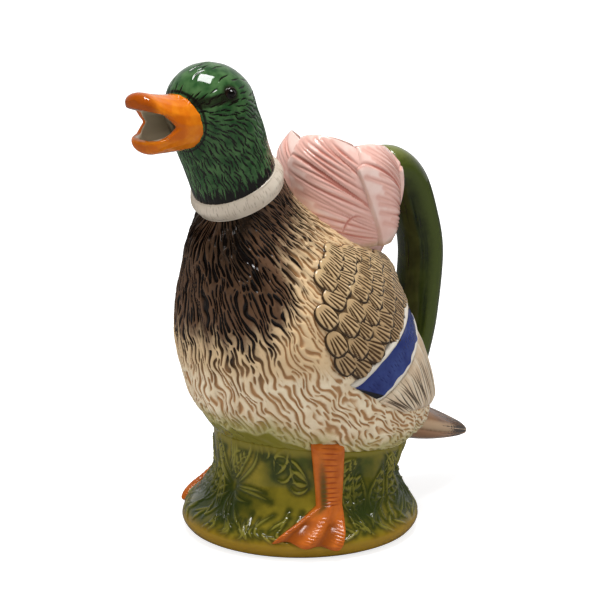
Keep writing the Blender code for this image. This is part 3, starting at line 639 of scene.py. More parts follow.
stroke_sizes = dict.fromkeys(("Spacing", "Length", "Wave", "Wave length"), "Float")
strokes, sockets = new_tree("feather_strokes", {**stroke_sizes, **groove_sizes, "Seed": "Int"})
clay = sockets["Geometry"]
plumage = add(strokes, "InputNamedAttribute", "plumage")
flow = add(strokes, "InputNamedAttribute", "flow", data_type="FLOAT_VECTOR")
crowd = add(strokes, "Math", sockets["Spacing"], -2.0, operation="POWER")
crowd = add(strokes, "Math", crowd, 4.0, operation="MULTIPLY")
roots = {"Mesh": clay, "Distance Min": sockets["Spacing"], "Density Max": crowd}
roots.update({"Density Factor": plumage, "Seed": sockets["Seed"]})
roots = add(strokes, "DistributePointsOnFaces", roots, distribute_method="POISSON")
turned = {"Rotation": roots.node.outputs["Rotation"], "Vector": flow}
turned = add(strokes, "AlignRotationToVector", turned, axis="X", pivot_axis="Z")
stroke_points = 12
stroke = {"Count": stroke_points, "Start Location": (-0.5, 0, 0), "Offset": (1 / (stroke_points - 1), 0, 0)}
stroke = add(strokes, "MeshLine", stroke)
step = add(strokes, "Math", add(strokes, "InputIndex"), 0.8, operation="ADD")
step = add(strokes, "Math", step, math.pi / (stroke_points + 0.6), operation="MULTIPLY")
swell = add(strokes, "Math", step, operation="SINE")
stroke = add(strokes, "StoreNamedAttribute", {"Geometry": stroke, "Name": "taper", "Value": swell})
long = add(strokes, "RandomValue", {"Min": 0.6, "Max": 1.25, "Seed": sockets["Seed"]})
long = add(strokes, "Math", long, sockets["Length"], operation="MULTIPLY")
stretch = add(strokes, "CombineXYZ", long, 1.0, 1.0)
laid = {"Points": roots, "Instance": stroke, "Rotation": turned, "Scale": stretch}
laid = add(strokes, "InstanceOnPoints", laid)
laid = add(strokes, "RealizeInstances", laid)
tight = add(strokes, "Math", 1.0, sockets["Wave length"], operation="DIVIDE")
wave = add(strokes, "TexNoise", {"Scale": tight, "Detail": 1.0}, out="Color")
wave = add(strokes, "VectorMath", wave, (0.5, 0.5, 0.5), operation="SUBTRACT")
wave = add(strokes, "VectorMath", wave, sockets["Wave"], operation="SCALE")
laid = add(strokes, "SetPosition", {"Geometry": laid, "Offset": wave})
onto = add(strokes, "Proximity", clay, out="Position", target_element="FACES")
laid = add(strokes, "SetPosition", {"Geometry": laid, "Position": onto})
score(strokes, clay, laid, sockets)

from_bill = head_xyz - np.array((0, -78, 221)) * mm
head_flow = from_bill / np.linalg.norm(from_bill, axis=1, keepdims=True)
head_flow += np.array((0, 0.25, -0.75)) * ramp(0.6 - head_share, 0, 0.45)[:, None]
eye_share, eye_angle = 0.575, -10.0
eye_spots = [head(eye_share, angle) for angle in (eye_angle, 180 - eye_angle)]
from_eye = np.min([np.linalg.norm(head_xyz - spot, axis=1) for spot in eye_spots], axis=0)
off_lore = np.abs(head_z - (229.5 + (head_y + 80) * 0.22))
lore = ramp(-head_y, 63, 68) * (1 - ramp(off_lore, 1.5, 4))
bill_edge = np.linalg.norm((head_xyz / mm - (0, -80, mouth_z)) / (15.2, 9, 15.2), axis=1)
mouth = (head_x / mouth_half_width) ** 2 + ((head_z - mouth_z) / mouth_half_height) ** 2
at_mouth = head_xyz[:, 1] < -68 * mm
head_turn = np.radians(angles_round(head_columns, len(inner_shares) + len(head_shares)))
ragged_hem = head_share + 0.02 * np.sin(23 * head_turn) + 0.016 * np.sin(57 * head_turn + 1)
head_paint = {
    "flow": head_flow,
    "plumage": np.where(on_outside & (from_eye > 3.5 * mm), 1 - 0.85 * ramp(head_z, 228, 238), 0),
    "inside": np.where(on_outside & ~(at_mouth & (mouth < 1.5)), 0, 1),
    "hem": 1 - ramp(ragged_hem, 0.01, 0.1),
    "lore": np.maximum(1 - ramp(from_eye / mm, 3.2, 6.5), lore),
    "bill_line": 1 - ramp(np.abs(bill_edge - 1.0), 0.01, 0.09),
}
for name, values in head_paint.items():
    dab(head_shell, name, values)
green_glaze = glaze(
    "green_glazed_earthenware", "244524", "47683e",
    ("groove", 0.15, 0.7, "14110d"), ("lore", 0.2, 1.3, "1a1510"), ("bill_line", 0.3, 1.1, "15130e"),
    ("hem", 0.2, 0.7, "120f0c"), ("inside", 0.4, 0.6, "d8cfba"),
    roughness=0.06, patch=6 * mm,
)
plume_sizes = {"Spacing": 2.6 * mm, "Length": 8.5 * mm, "Wave": 4.5 * mm, "Wave length": 7 * mm, "Seed": 5}
plume_sizes.update({"Half width": 0.8 * mm, "Depth": 0.3 * mm, "Pool width": 2 * mm})
run_nodes(head_shell, strokes, {**plume_sizes, "Material": green_glaze})
open_hole(head_shell, (mouth < 1) & at_mouth)
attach(head_shell, "root")
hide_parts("head_shell")


# Eyes: a small bead of clay pressed into each side of the head, with a raised lid round it. Both are under a
# black gloss glaze that catches a bright spot of light.
sides = (("left", 1), ("right", -1))
eye_columns = 40
dome = ((0.05, 2.6), (0.7, 2.45), (1.35, 2.0), (1.85, 1.3), (2.05, 0.8))
lid = ((2.3, 0.9), (2.7, 0.85), (3, 0.4), (3.2, -0.6))
eye_radius, eye_rise = np.array(lid[::-1] + dome[::-1]).T[:, :, None]
turns = np.radians(angles_round(eye_columns))
circles = [eye_radius * np.cos(turns), eye_radius * np.sin(turns), 0 * turns + eye_rise]
eye_glaze = glaze("black_glazed_bead", "080706", "0d0b09", ("lid", 0.3, 0.7, "1c130e"), roughness=0.04)
for (side_name, side), spot in zip(sides, eye_spots):
    outward = Vector(head(eye_share, eye_angle, 1 * mm) - eye_spots[0]).normalized()
    outward.x *= side
    turn = outward.to_track_quat("Z", "Y").to_matrix()
    bead_points = np.stack(circles, axis=-1) * mm @ np.array(turn).T + spot
    bead = skin(side_name + "_eye_bead", bead_points, caps=True)
    dab(bead, "lid", np.repeat([1] * len(lid) + [0] * len(dome), eye_columns))
    bead.data.materials.append(eye_glaze)
    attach(bead, "root")
    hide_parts(side_name + "_eye")


# Bill: the spout, two halves cast with the head and parted by the pouring mouth. Orange stain under clear
# glaze, burnt darker at the tips, with painted shade in the corners of the mouth; its channel is left cream.
halves = bmesh.new()
for name in ("upper_bill", "lower_bill"):
    halves.from_mesh(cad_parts[name].data)
bmesh.ops.remove_doubles(halves, verts=halves.verts, dist=0.01 * mm)
bmesh.ops.recalc_face_normals(halves, faces=halves.faces)
halves.normal_update()
for point in halves.verts:
    point.co += point.normal * 0.3 * mm
bill = put("orange_bill", bpy.data.meshes.new("orange_bill"))
halves.to_mesh(bill.data)
halves.free()
remesh = bill.modifiers.new("one clay", "REMESH")
remesh.mode = "VOXEL"
remesh.voxel_size = 0.38 * mm
soften = bill.modifiers.new("soft edges", "SMOOTH")
soften.factor = 0.6
soften.iterations = 14
settle(bill)
bill.data.shade_smooth()
bill_xyz = points_of(bill)
bill_xyz[:, 1] = np.maximum(bill_xyz[:, 1], cad_box[0][1])
bill.data.vertices.foreach_set("co", bill_xyz.astype(np.float32).ravel())
bill.data.update()
bill_facing = np.empty(bill_xyz.size, np.float32)
bill.data.vertex_normals.foreach_get("vector", bill_facing)
bill_axis_z = 220.1
bill_y, bill_z = bill_xyz[:, 1] / mm, bill_xyz[:, 2] / mm - bill_axis_z
from_axis = np.stack([bill_xyz[:, 0], 0 * bill_y, bill_z * mm], axis=-1)
from_axis /= np.linalg.norm(from_axis, axis=1, keepdims=True)
inward = -(bill_facing.reshape(-1, 3) * from_axis).sum(1)
dab(bill, "tip", ramp(-bill_y, 100, 109) * ramp(np.abs(bill_z), 4, 9))
dab(bill, "channel", ramp(inward, 0.35, 0.7) * ramp(bill_y, -105, -101))
# Painted shade: the orange is darker deep in the corners of the mouth.
dab(bill, "gape", ramp(-np.abs(bill_z), -9, -4) * (1 - ramp(np.abs(bill_y + 95), 3, 9)))
orange_glaze = glaze(
    "orange_glazed_earthenware", "cf6a10", "dc7d16",
    ("gape", 0.3, 1.0, "c25f0e"), ("tip", 0.2, 1.0, "9c480c"), ("channel", 0.3, 0.7, "cdc2aa"),
    roughness=0.08, patch=5 * mm,
)
bill.data.materials.clear()
bill.data.materials.append(orange_glaze)
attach(bill, "root")
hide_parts("upper_bill", "lower_bill")


# Flower funnel: the filling mouth on the back, a cast cup in the shape of a flower that opens the body below.
# Pale pink glaze, with the inside left creamier.
cup_columns, cup_rows, cup_inner_rows, cup_strokes, stroke_points = 240, 70, 40, 44, 12


def flower_ovals(wall=0.0, tilt=12.5):
    ovals = []
    for rise, swell in flower_curve:
        lift = -tilt * max(rise, 0) / flower_height
        ovals.append(leaning(seat[1], seat[2] + rise, *flower_reach(swell, wall), lift))
    return ovals


flower = loft(flower_ovals())
flower_inside = loft(flower_ovals(wall))
outside = rings(flower, np.linspace(0.05, 0.95, cup_rows), cup_columns)
inside = rings(flower_inside, np.linspace(0.95, 0.05, cup_inner_rows), cup_columns)
funnel = skin("flower_cup", np.concatenate([outside, inside]), loop=True)
past_lip = np.arange(cup_rows + cup_inner_rows) - cup_rows
dab(funnel, "inside", np.repeat(ramp(past_lip, -4, 12), cup_columns))
pink_washes = ("groove", 0.15, 0.9, "c07d6e"), ("inside", 0.0, 1.0, "d8bcac")
pink_glaze = glaze("pink_glazed_earthenware", "d8a99d", "e0b9ae", *pink_washes, roughness=0.12)
cup_lines = []
for k in range(cup_strokes):
    degrees = k * 360 / cup_strokes + rng.uniform(-3, 3)
    start = rng.uniform(0.45, 0.7)
    degrees = degrees + rng.uniform(-9, 9) * np.linspace(-1, 1, stroke_points) ** 2
    cup_lines.append(flower_inside(np.linspace(start, 0.94, stroke_points), degrees))
engrave(funnel, cup_lines, 0.8 * mm, 0.4 * mm, pink_glaze)
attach(funnel, "root")
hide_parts("flower_funnel")


# Petals: five leaves of clay wrapped slanting round the cup, each with its early edge over the petal before.
# Pink glaze runs thin on their ridges and gathers salmon in the veins; at the foot it fades into tan.
petals = 5
petal_spread = 360 / petals + 18
petal_foot, petal_slant, stem_share = 0.43, 43, 0.87


def petal_place(centre):
    def place(u, v, height):
        corner = 0.06 * (1 - ramp(u, 0, 0.16)) * ramp(v, 0.8, 1)
        share = petal_foot + (1.03 - 0.05 * (2 * u - 1) ** 2 - petal_foot) * v - corner
        slant = petal_slant * (stem_share - share) / (1 - petal_foot)
        return flower(share, centre + slant + (u - 0.5) * petal_spread, height)

    return place


def plate(name, place, high, low, columns, rows, flip=False, paint=None):
    """A closed plate of place(u, v, height), v upwards, from a low height to a high one; its sides meet.
    Paint holds a function of u and v for each value that the material reads."""
    u, v = np.meshgrid(np.linspace(0, 1, columns), np.linspace(0, 1, rows))
    top = high(u, v)
    under = np.full_like(top, low)
    under[:, 0], under[:, -1] = top[:, 0], top[:, -1]
    points = np.concatenate([place(u, v, top), place(u, v, under)[::-1]])
    step = -1 if flip else 1
    piece = skin(name, points[:, ::step], wrap=False, loop=True)
    for value, rule in (paint or {}).items():
        dab(piece, value, np.concatenate([rule(u, v), rule(u, v)[::-1]])[:, ::step])
    mesh = bmesh.new()
    mesh.from_mesh(piece.data)
    bmesh.ops.remove_doubles(mesh, verts=mesh.verts, dist=0.001 * mm)
    mesh.to_mesh(piece.data)
    mesh.free()
    return piece


def swelling(u, v, edge, full, rim=0.22):
    """A height that swells from a plate's edge and is full beyond a rim."""
    inset = np.minimum(np.minimum(np.minimum(u, 1 - u), np.minimum(v, 1 - v)), rim) / rim
    return edge + (full - edge) * np.sin(inset * np.pi / 2)


def petal_height(u, v):
    lift = ramp(0.7 - u, 0, 0.5) * 2.7 * mm
    side_edge = ramp(np.minimum(np.minimum(u, 1 - u) / 0.03, 1), -0.6, 1)
    thick = (lift + swelling(u, v, 0.7 * mm, 1.7 * mm)) * side_edge
    return thick - (thick + 2.6 * mm) * np.clip((v - 0.8) / 0.2, 0, 1) ** 2.2


petal_glaze = glaze(
    "veined_pink_glazed_earthenware", "e8bfb3", "f0d3c9",
    ("pool", 0.2, 1.0, "e0aea1"), ("groove", 0.25, 1.0, "c77c6d"), ("foot", 0.2, 1.0, "c3a07a"),
    roughness=0.12,
)
for k in range(petals):
    place = petal_place(90 + 360 / petals * k)
    petal = plate(f"petal_{k + 1}_leaf", place, petal_height, -3.2 * mm, 130, 120)
    veins, weights = [], []
    for n in range(-11, 9):
        t = np.linspace(0.02, 0.98, 96)
        v = 0.93 + 0.052 * n + rng.uniform(-0.012, 0.012) - (0.5 + 0.012 * n) * t + 0.025 * np.sin(5 * t + n)
        first = rng.uniform(0, 0.3) if n else 0
        shown = (v < 0.97) & (v > 0.06) & (t > first) & (t < 1 - rng.uniform(0, 0.3))
        if shown.sum() > 20:
            veins.append((t[shown], v[shown]))
            weights.append(1.25 if n == 0 else rng.uniform(0.4, 1.0))
    t = np.linspace(0, 1, 60)
    veins.append((0.3 + 0.46 * t, 0.12 + 0.27 * np.sin(2.2 * t)))
    weights.append(0.9)
    dab(petal, "foot", 1 - ramp(points_of(petal)[:, 2] / mm, 143, 154))
    vein_lines = [place(u, v, petal_height(u, v)) for u, v in veins]
    engrave(petal, vein_lines, 1.5 * mm, 0.9 * mm, petal_glaze, 3.4 * mm, weights)
    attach(petal, "root")
    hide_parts(f"petal_{k + 1}")


# Handle: the flower's stem, a thick oval rod luted to the petals and to the rump. Dark green glaze, running
# lighter and yellower over the bend at the top, with a lighter painted sheen along its edges.
stem_half_depth, stem_half_width, stem_reach = 11, 13, 23.8
stem_columns, stem_rows, stem_streaks = 120, 170, 26
stem_top = loft(flower_ovals(tilt=10))(stem_share, 90.0)[1:] / mm
stem_foot = body(0.275, 90.0)[1:] / mm
stem_drops = (-0.01, 0, 0.075, 0.24, 0.44, 0.72, 0.895, 1.08)
stem_outs = (-0.45, 0.31, 0.70, 0.93, 1, 0.65, 0.30, -0.2)
stem_line = [stem_top + (stem_foot - stem_top) * drop for drop in stem_drops]
stem_line = np.array([spot + (stem_reach * out, 0) for spot, out in zip(stem_line, stem_outs)])
stem_ovals = []
for i, middle in enumerate(stem_line):
    ahead = stem_line[min(i + 1, len(stem_line) - 1)] - stem_line[max(i - 1, 0)]
    ahead /= np.linalg.norm(ahead)
    outward = np.array((-ahead[1], ahead[0])) * stem_half_depth
    stem_ovals.append((*(middle - outward), *(middle + outward), stem_half_width))
stem = loft(stem_ovals)
stem_points = rings(stem, np.linspace(0.074, 1, stem_rows), stem_columns)
handle = skin("stem_handle", stem_points[::-1], caps=True)
dab(handle, "bend", ramp(points_of(handle)[:, 2] / mm, 176, 196))
# Painted sheen: the stem is lighter along both its sides.
dab(handle, "edge", np.abs(np.cos(np.radians(angles_round(stem_columns, stem_rows)))) ** 6)
stem_washes = ("edge", 0.2, 1.0, "414b1e"), ("bend", 0.0, 1.0, "6d7434"), ("groove", 0.3, 1.2, "1f270c")
stem_glaze = glaze("dark_green_glazed_earthenware", "282f0e", "363f16", *stem_washes, roughness=0.07)
streaks = []
for k in range(stem_streaks):
    low = rng.uniform(0.1, 0.7)
    t = np.linspace(low, low + rng.uniform(0.12, 0.3), 80)
    streaks.append(stem(t, rng.uniform(0, 360) + 4 * np.sin(9 * t)))
engrave(handle, streaks, 1.4 * mm, 0.18 * mm, stem_glaze)
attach(handle, "root")
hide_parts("handle")


# Wing coverts: rows of small rounded feathers pressed over each shoulder like tiles. Tan glaze, with brown
# painted round each feather and in the barbs, and painted shade darkening the lower rows.
coverts_top, coverts_foot = ((-2, 0.790), (58, 0.690)), ((-17, 0.355), (60, 0.560))
bar_bow, plate_foot = 0.018, -2.6 * mm
feather_length, feather_half_width, row_step, column_step = 14.5, 5.9, 8.6, 9.2
bed_top, bed_rim = 1.1 * mm, -1.6 * mm


def wing_place(side, top, foot, bulge=0.0, top_bow=0.0, foot_bow=0.0):
    """A place on the wing between two lines, each a little bowed, u backwards and v from foot to top."""
    top, foot = np.array(top), np.array(foot)

    def place(u, v, height):
        u, v = np.asarray(u, float)[..., None], np.asarray(v, float)[..., None]
        front, back = foot[0] + (top[0] - foot[0]) * v, foot[1] + (top[1] - foot[1]) * v
        across = front + (back - front) * u
        u, v = u[..., 0], v[..., 0]
        degrees = across[..., 0] - bulge * np.sin(np.pi * v) * (1 - u)
        share = across[..., 1] + np.sin(np.pi * u) * (foot_bow + (top_bow - foot_bow) * v)
        return body(share, degrees, height) * (side, 1, 1)

    return place


feathers = []
s, w = np.meshgrid(np.linspace(0, 1, 17), np.linspace(-1, 1, 25), indexing="ij")
half_wide = np.clip(1 - np.abs(2 * s - 1) ** 2.4, 0, 1) ** 0.5 * 0.96 + 0.04
feather_rim = 1 - ramp(np.minimum((1 - np.abs(w)) * half_wide, (1 - s) * 1.6), 0.1, 0.3)
for barbs in ((-0.85, -0.45, -0.1, 0.3, 0.72), (-0.7, -0.28, 0.2, 0.62), (-0.9, -0.55, -0.05, 0.38, 0.8)):
    lanes = w * half_wide / (0.35 + 0.75 * s) + 0.18 * (s - 0.5) * math.sin(40 * barbs[0])
    ends = 0.9 + 0.07 * np.sin(9 * w + 30 * barbs[1])
    barb_marks = sum(np.exp(-(((lanes - lane) / 0.115) ** 2)) for lane in barbs)
    barb_marks *= ramp(s, 0.12, 0.35) * (1 - ramp(s, ends - 0.14, ends))
    top = 1.2 * (1 - 0.4 * w**2) - 0.5 * barb_marks - 1.0 * feather_rim - 0.9 * (1 - s) ** 2
    under = np.full_like(top, -1.4)
    under[:, 0], under[:, -1] = top[:, 0], top[:, -1]
    feather_xy = (s - 0.5) * feather_length, w * half_wide * feather_half_width
    top, under = (np.stack([*feather_xy, height], axis=-1) for height in (top, under))
    feather_points = np.concatenate([top, under[::-1]]) * mm
    feather = skin(f"covert_feather_{len(feathers) + 1}", feather_points, wrap=False, loop=True)
    for name, value in (("rim", feather_rim), ("barb", barb_marks)):
        dab(feather, name, np.concatenate([value, 0 * value]))
    feathers.append(feather)

tile_inputs = {f"Feather {k + 1}": feather for k, feather in enumerate(feathers)}
tile_sizes = {"Bed": "Object", "Least size": "Float", "Greatest size": "Float", "Seed": "Int"}
tiling, sockets = new_tree("tiled_feathers", {**dict.fromkeys(tile_inputs, "Object"), **tile_sizes})
out, lie = (add(tiling, "InputNamedAttribute", name, data_type="FLOAT_VECTOR") for name in ("out", "lie"))
size = add(tiling, "InputNamedAttribute", "size")
turned = add(tiling, "AlignRotationToVector", {"Vector": out}, axis="Z")
turned = {"Rotation": turned, "Vector": lie}
turned = add(tiling, "AlignRotationToVector", turned, axis="X", pivot_axis="Z")
vary = {"Min": sockets["Least size"], "Max": sockets["Greatest size"], "Seed": sockets["Seed"]}
vary = add(tiling, "RandomValue", vary)
vary = add(tiling, "Math", vary, size, operation="MULTIPLY")
vary = add(tiling, "CombineXYZ", vary, vary, 1.0)
kinds = add(tiling, "JoinGeometry")
for name in tile_inputs:
    one = add(tiling, "ObjectInfo", sockets[name], True, out="Geometry")
    tiling.links.new(one, kinds.node.inputs["Geometry"])
pick = {"Min": 0, "Max": len(feathers) - 1, "Seed": sockets["Seed"]}
pick = add(tiling, "RandomValue", pick, data_type="INT")
tiles = {"Points": sockets["Geometry"], "Instance": kinds, "Pick Instance": True, "Instance Index": pick}
tiles.update({"Rotation": turned, "Scale": vary})
both = add(tiling, "JoinGeometry", add(tiling, "InstanceOnPoints", tiles))
bed = add(tiling, "ObjectInfo", sockets["Bed"], out="Geometry")
tiling.links.new(bed, both.node.inputs["Geometry"])
end_tree(tiling, both, sockets)


def bed_height(u, v):
    shoulder = 3 * mm * ramp(2 * v - u, 1.6, 1.8)
    return np.maximum(swelling(u, v, bed_rim, bed_top, 0.1) - shoulder, -2.4 * mm)


covert_glaze = glaze(
    "tan_glazed_earthenware", "b4966d", "d0b48a",
    ("shade", 0.2, 1.0, "ab8e68"), ("barb", 0.15, 0.65, "4a3623"), ("rim", 0.25, 0.75, "3a2c1e"),
    ("bed", 0.4, 0.6, "6b543a"),
    roughness=0.13, patch=14 * mm,
)
for side_name, side in sides:
    place = wing_place(side, coverts_top, coverts_foot, bulge=9, foot_bow=bar_bow)
    bed_piece = plate("covert_bed", place, bed_height, plate_foot, 50, 40, flip=side < 0)
    dab(bed_piece, "bed", np.ones(len(bed_piece.data.vertices)))
    u, v = (grid.ravel() for grid in np.meshgrid(np.linspace(0.02, 0.98, 150), np.linspace(0.04, 0.98, 150)))
    flow = hair_lines(place(u, v, 0 * u))
    around, along = np.arctan2(flow[:, 1], flow[:, 0] * side) * flow_radius, flow[:, 2] / mm
    seats = []
    for row in range(int(along.min() // row_step), int(along.max() // row_step) + 1):
        for column in range(-24, 24):
            here = (column + 0.5 * (row % 2)) * column_step + rng.uniform(-1.2, 1.2)
            miss = np.hypot(around - here, along - row * row_step - rng.uniform(-1.1, 1.1))
            near = miss.argmin()
            if miss[near] < 2.8 and u[near] > 2 * v[near] - 1.75:
                seats.append((u[near], v[near]))
    u, v = np.array(seats).T
    spots = place(u, v, bed_top)
    beside, above = place(u + 0.01, v, bed_top) - spots, place(u, v + 0.01, bed_top) - spots
    out = np.cross(beside, above) * side
    out /= np.linalg.norm(out, axis=1, keepdims=True)
    lie = (spots - neck_root) / ((spots - neck_root) ** 2).sum(1, keepdims=True)
    lie += (tail_root - spots) / ((tail_root - spots) ** 2).sum(1, keepdims=True)
    lie -= out * (lie * out).sum(1, keepdims=True)
    lie /= np.linalg.norm(lie, axis=1, keepdims=True)
    out = out - lie * 0.06
    lie += np.cross(out, lie) * rng.uniform(-0.22, 0.22, (len(lie), 1))
    mesh = bpy.data.meshes.new(side_name + "_covert_tiles")
    mesh.from_pydata(spots, [], [])
    coverts = put(side_name + "_covert_tiles", mesh)
    # The lower feathers get painted shade, darker towards the foot of the wing.
    for name, value in (("out", out), ("lie", lie), ("size", 0.86 + 0.22 * (1 - v)), ("shade", 1 - v)):
        dab(coverts, name, value)
    tile_inputs.update({"Bed": bed_piece, "Least size": 0.92, "Greatest size": 1.12, "Seed": 11})
    run_nodes(coverts, tiling, {**tile_inputs, "Material": covert_glaze})
    bpy.data.objects.remove(bed_piece)
    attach(coverts, "root")
    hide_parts(side_name + "_wing_coverts")
for feather in feathers:
    bpy.data.objects.remove(feather)


# Speculum: the blue bar across each wing, cast as a low band between two white ridges. Cobalt blue under
# clear glaze, black at its front end, with fine feather lines across it.
speculum_top, speculum_foot = ((-17, 0.350), (60, 0.555)), ((-4, 0.295), (60, 0.475))
vane_bow, bar_lines = 0.004, 34


def white_bands(u, v):
    wavy = v + 0.02 * np.sin(u * 22) + 0.012 * np.sin(u * 51)
    return np.maximum(ramp(wavy, 0.85, 0.89), 1 - ramp(wavy, 0.1, 0.14))


def black_end(u, v):
    return (1 - ramp(u + 0.07 * v, 0.03, 0.09)) * (1 - ramp(v, 0.84, 0.88))


def bar_height(u, v):
    upper, lower = ramp(v, 0.85, 0.9) * (1 - ramp(v, 0.96, 1)), (1 - ramp(v, 0.08, 0.13)) * ramp(v, 0, 0.04)
    return swelling(u, v, 0.8 * mm, 1.9 * mm, 0.08) + 0.6 * mm * np.maximum(upper, lower)


bar_paint = {"white": white_bands, "black": black_end}
blue_glaze = glaze(
    "cobalt_glazed_earthenware", "25316c", "33437f",
    ("groove", 0.2, 1.0, "1c2756"), ("black", 0.3, 0.7, "14141a"), ("white", 0.35, 0.65, "cfc7ba"),
    roughness=0.1,
)
for side_name, side in sides:
    place = wing_place(side, speculum_top, speculum_foot, top_bow=bar_bow, foot_bow=vane_bow)
    bar = plate(side_name + "_blue_bar", place, bar_height, plate_foot, 120, 50, side < 0, bar_paint)
    lines = []
    for k in range(bar_lines):
        start = (k + 0.5) / bar_lines + rng.uniform(-0.008, 0.008)
        t = np.linspace(rng.uniform(0.2, 0.35), rng.uniform(0.6, 0.78), 10)
        lines.append(place(start + 0.05 * t, t, bar_height(start + 0.05 * t, t)))
    engrave(bar, lines, 0.6 * mm, 0.35 * mm, blue_glaze)
    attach(bar, "root")
    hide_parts(side_name + "_speculum")


# Flight feathers: the folded ends of each wing, long vanes laid side by side under the blue bar. Grey-brown
# stain wiped into close grooves, so the ridges stay pale.
flight_top, flight_foot = ((-4, 0.290), (60, 0.470)), ((10, 0.228), (56, 0.205))
vanes_in_wing, vane_lines = 6, 30


def vane_height(u, v):
    return swelling(u, v, 0.8 * mm, 2.1 * mm) + 0.8 * mm * (vanes_in_wing * u % 1) * ramp(v, 0, 0.1)


vane_paint = {"pale": lambda u, v: ramp(vanes_in_wing * u % 1, 0.72, 0.86)}
flight_washes = ("pale", 0.2, 0.8, "dccbb3"), ("groove", 0.1, 0.8, "605040")
flight_glaze = glaze("grey_brown_glazed_earthenware", "cdb497", "dfccb1", *flight_washes, roughness=0.13)
for side_name, side in sides:
    place = wing_place(side, flight_top, flight_foot, top_bow=vane_bow)
    vanes = plate(side_name + "_flight_vanes", place, vane_height, plate_foot, 181, 70, side < 0, vane_paint)
    lines = []
    for k in range(vane_lines):
        start = (k + 0.5) / vane_lines + rng.uniform(-0.006, 0.006)
        t = np.linspace(rng.uniform(-0.1, 0.05), rng.uniform(0.95, 1.2), 60)
        u = start + 0.02 * np.sin(3 * t + k % 5)
        lines.append(place(u, t, vane_height(u, t)))
    engrave(vanes, lines, 0.7 * mm, 0.6 * mm, flight_glaze)
    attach(vanes, "root")
    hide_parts(side_name + "_flight_feathers")


# Tail: a flat drooping wedge cast out from under the rump, scored lengthwise into feathers. Grey-brown stain
# on top, pale along the edges and pinkish below.
tail_length, tail_sink, tail_droop = 45, 9, 15
tail_columns, tail_rows, tail_scores = 200, 110, 72
rump = body(0.143, 90.0)[1:] / mm
tail_ovals = []
for share, size in ((-0.45, 1.05), (0.1, 0.95), (0.55, 0.62), (0.88, 0.26), (1.0, 0.0)):
    y, z = rump[0] + tail_length * share, rump[1] - tail_sink - tail_droop * share
    half_depth, half_width = (5 + 17 * size) / 2, 6 + 17 * size
    tail_ovals.append((y, z + half_depth, y, z - half_depth, half_width))
tail_form = loft(tail_ovals)
tail = skin("tail_wedge", rings(tail_form, np.linspace(0, 1, tail_rows), tail_columns), caps=True)
tail_turn = np.radians(angles_round(tail_columns, tail_rows))
dab(tail, "below", ramp(np.sin(tail_turn), 0.1, 0.5))
dab(tail, "edge", np.abs(np.cos(tail_turn)) ** 8)
tail_lines = []
for k in range(tail_scores):
    low = rng.uniform(0.25, 0.45)
    t = np.linspace(low, rng.uniform(0.75, 0.98), 12)
    tail_lines.append(tail_form(t, k * 360 / tail_scores + rng.uniform(-1, 1) + 4 * np.sin(3 * t + k)))
tail_washes = ("below", 0.3, 0.8, "b08565"), ("edge", 0.6, 1.0, "b89b7c"), ("groove", 0.15, 0.7, "3f3024")
tail_glaze = glaze("tail_glazed_earthenware", "6c4a30", "86603f", *tail_washes, roughness=0.13)
engrave(tail, tail_lines, 0.8 * mm, 0.5 * mm, tail_glaze)
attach(tail, "root")
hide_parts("tail")


# Legs: a shank and a webbed foot laid in relief on each side of the mound, tucked under the belly. Orange
# glaze, scored across with the scales of the leg, brown-red on the webs, with greenish painted shade down the
# shank's side.
leg_scales, toe_scales = 13, 9
hip_half_width, ankle_half_width, foot_half_width = 8.0, 6.6, 16
above_mound, ankle_share, ankle = 1.06, 0.74, 0.45


def leg_place(side, leg_angle):
    def place(u, v, height):
        v = 1 - v
        down = np.minimum(v / ankle, 1)
        spread = np.maximum((v - ankle) / (1 - ankle), 0)
        shank = hip_half_width + (ankle_half_width - hip_half_width) * down
        half_width = shank + (foot_half_width - shank) * np.sin(spread * np.pi / 2)
        toe_height = 0.40 + (0.27 - 0.40) * u + 0.06 * np.sin(2 * np.pi * u) ** 2
        at_ankle = above_mound + (ankle_share - above_mound) * down
        share = at_ankle + (toe_height - at_ankle) * spread
        radius = np.abs(mound(np.minimum(share, 1.0), 0.0 * share)[..., 0]) / mm
        degrees = leg_angle - 12 * spread + np.degrees((2 * u - 1) * half_width / radius)
        return mound(share, degrees, height) * (side, 1, 1)

    return place


def leg_height(u, v):
    v = 1 - v
    shank = 4.6 * np.sqrt(np.clip(1 - (2 * u - 1) ** 2, 0, 1))
    ridge = 0.2 + 0.8 * np.cos(2 * np.pi * u) ** 2
    foot = 4.0 * ridge * np.sqrt(np.clip(1 - v**8, 0, 1))
    blend = np.clip((v - 0.4) / 0.3, 0, 1)
    tuck = 2 * (1 - ramp(v, 0, 0.07))
    return np.maximum((shank + (foot - shank) * blend + 0.6) * (1 - tuck / 2) - tuck / 2, -1.4) * mm


leg_glaze = glaze(
    "orange_leg_glazed_earthenware", "b55a18", "c86a22",
    ("web", 0.2, 1.0, "93480f"), ("shade", 0.2, 1.0, "5e4a1e"), ("groove", 0.2, 1.0, "963f0c"),
    roughness=0.2, patch=6 * mm,
)
leg_paint = {
    # Painted shade: a greenish dark patch down the left of the shank.
    "shade": lambda u, v: np.exp(-(((u - 0.26) / 0.15) ** 2) - ((v - 0.66) / 0.24) ** 2),
    "web": lambda u, v: np.sin(2 * np.pi * u) ** 2 * (1 - ramp(v, 0.3, 0.45)),
}
t = np.linspace(0.12, 0.88, 40)
scales = [(t, 0.97 - k * 0.034 + 0.012 * np.sin(np.pi * t)) for k in range(leg_scales)]
bow = 0.015 * np.cos(np.linspace(-1.5, 1.5, 24))
for toe in (0.05, 0.5, 0.95):
    t = np.clip(toe + np.linspace(-0.12, 0.12, 24), 0.01, 0.99)
    scales += [(t, 0.44 - k * 0.042 + bow) for k in range(toe_scales)]
weights = [1] * leg_scales + [0.6] * (len(scales) - leg_scales)
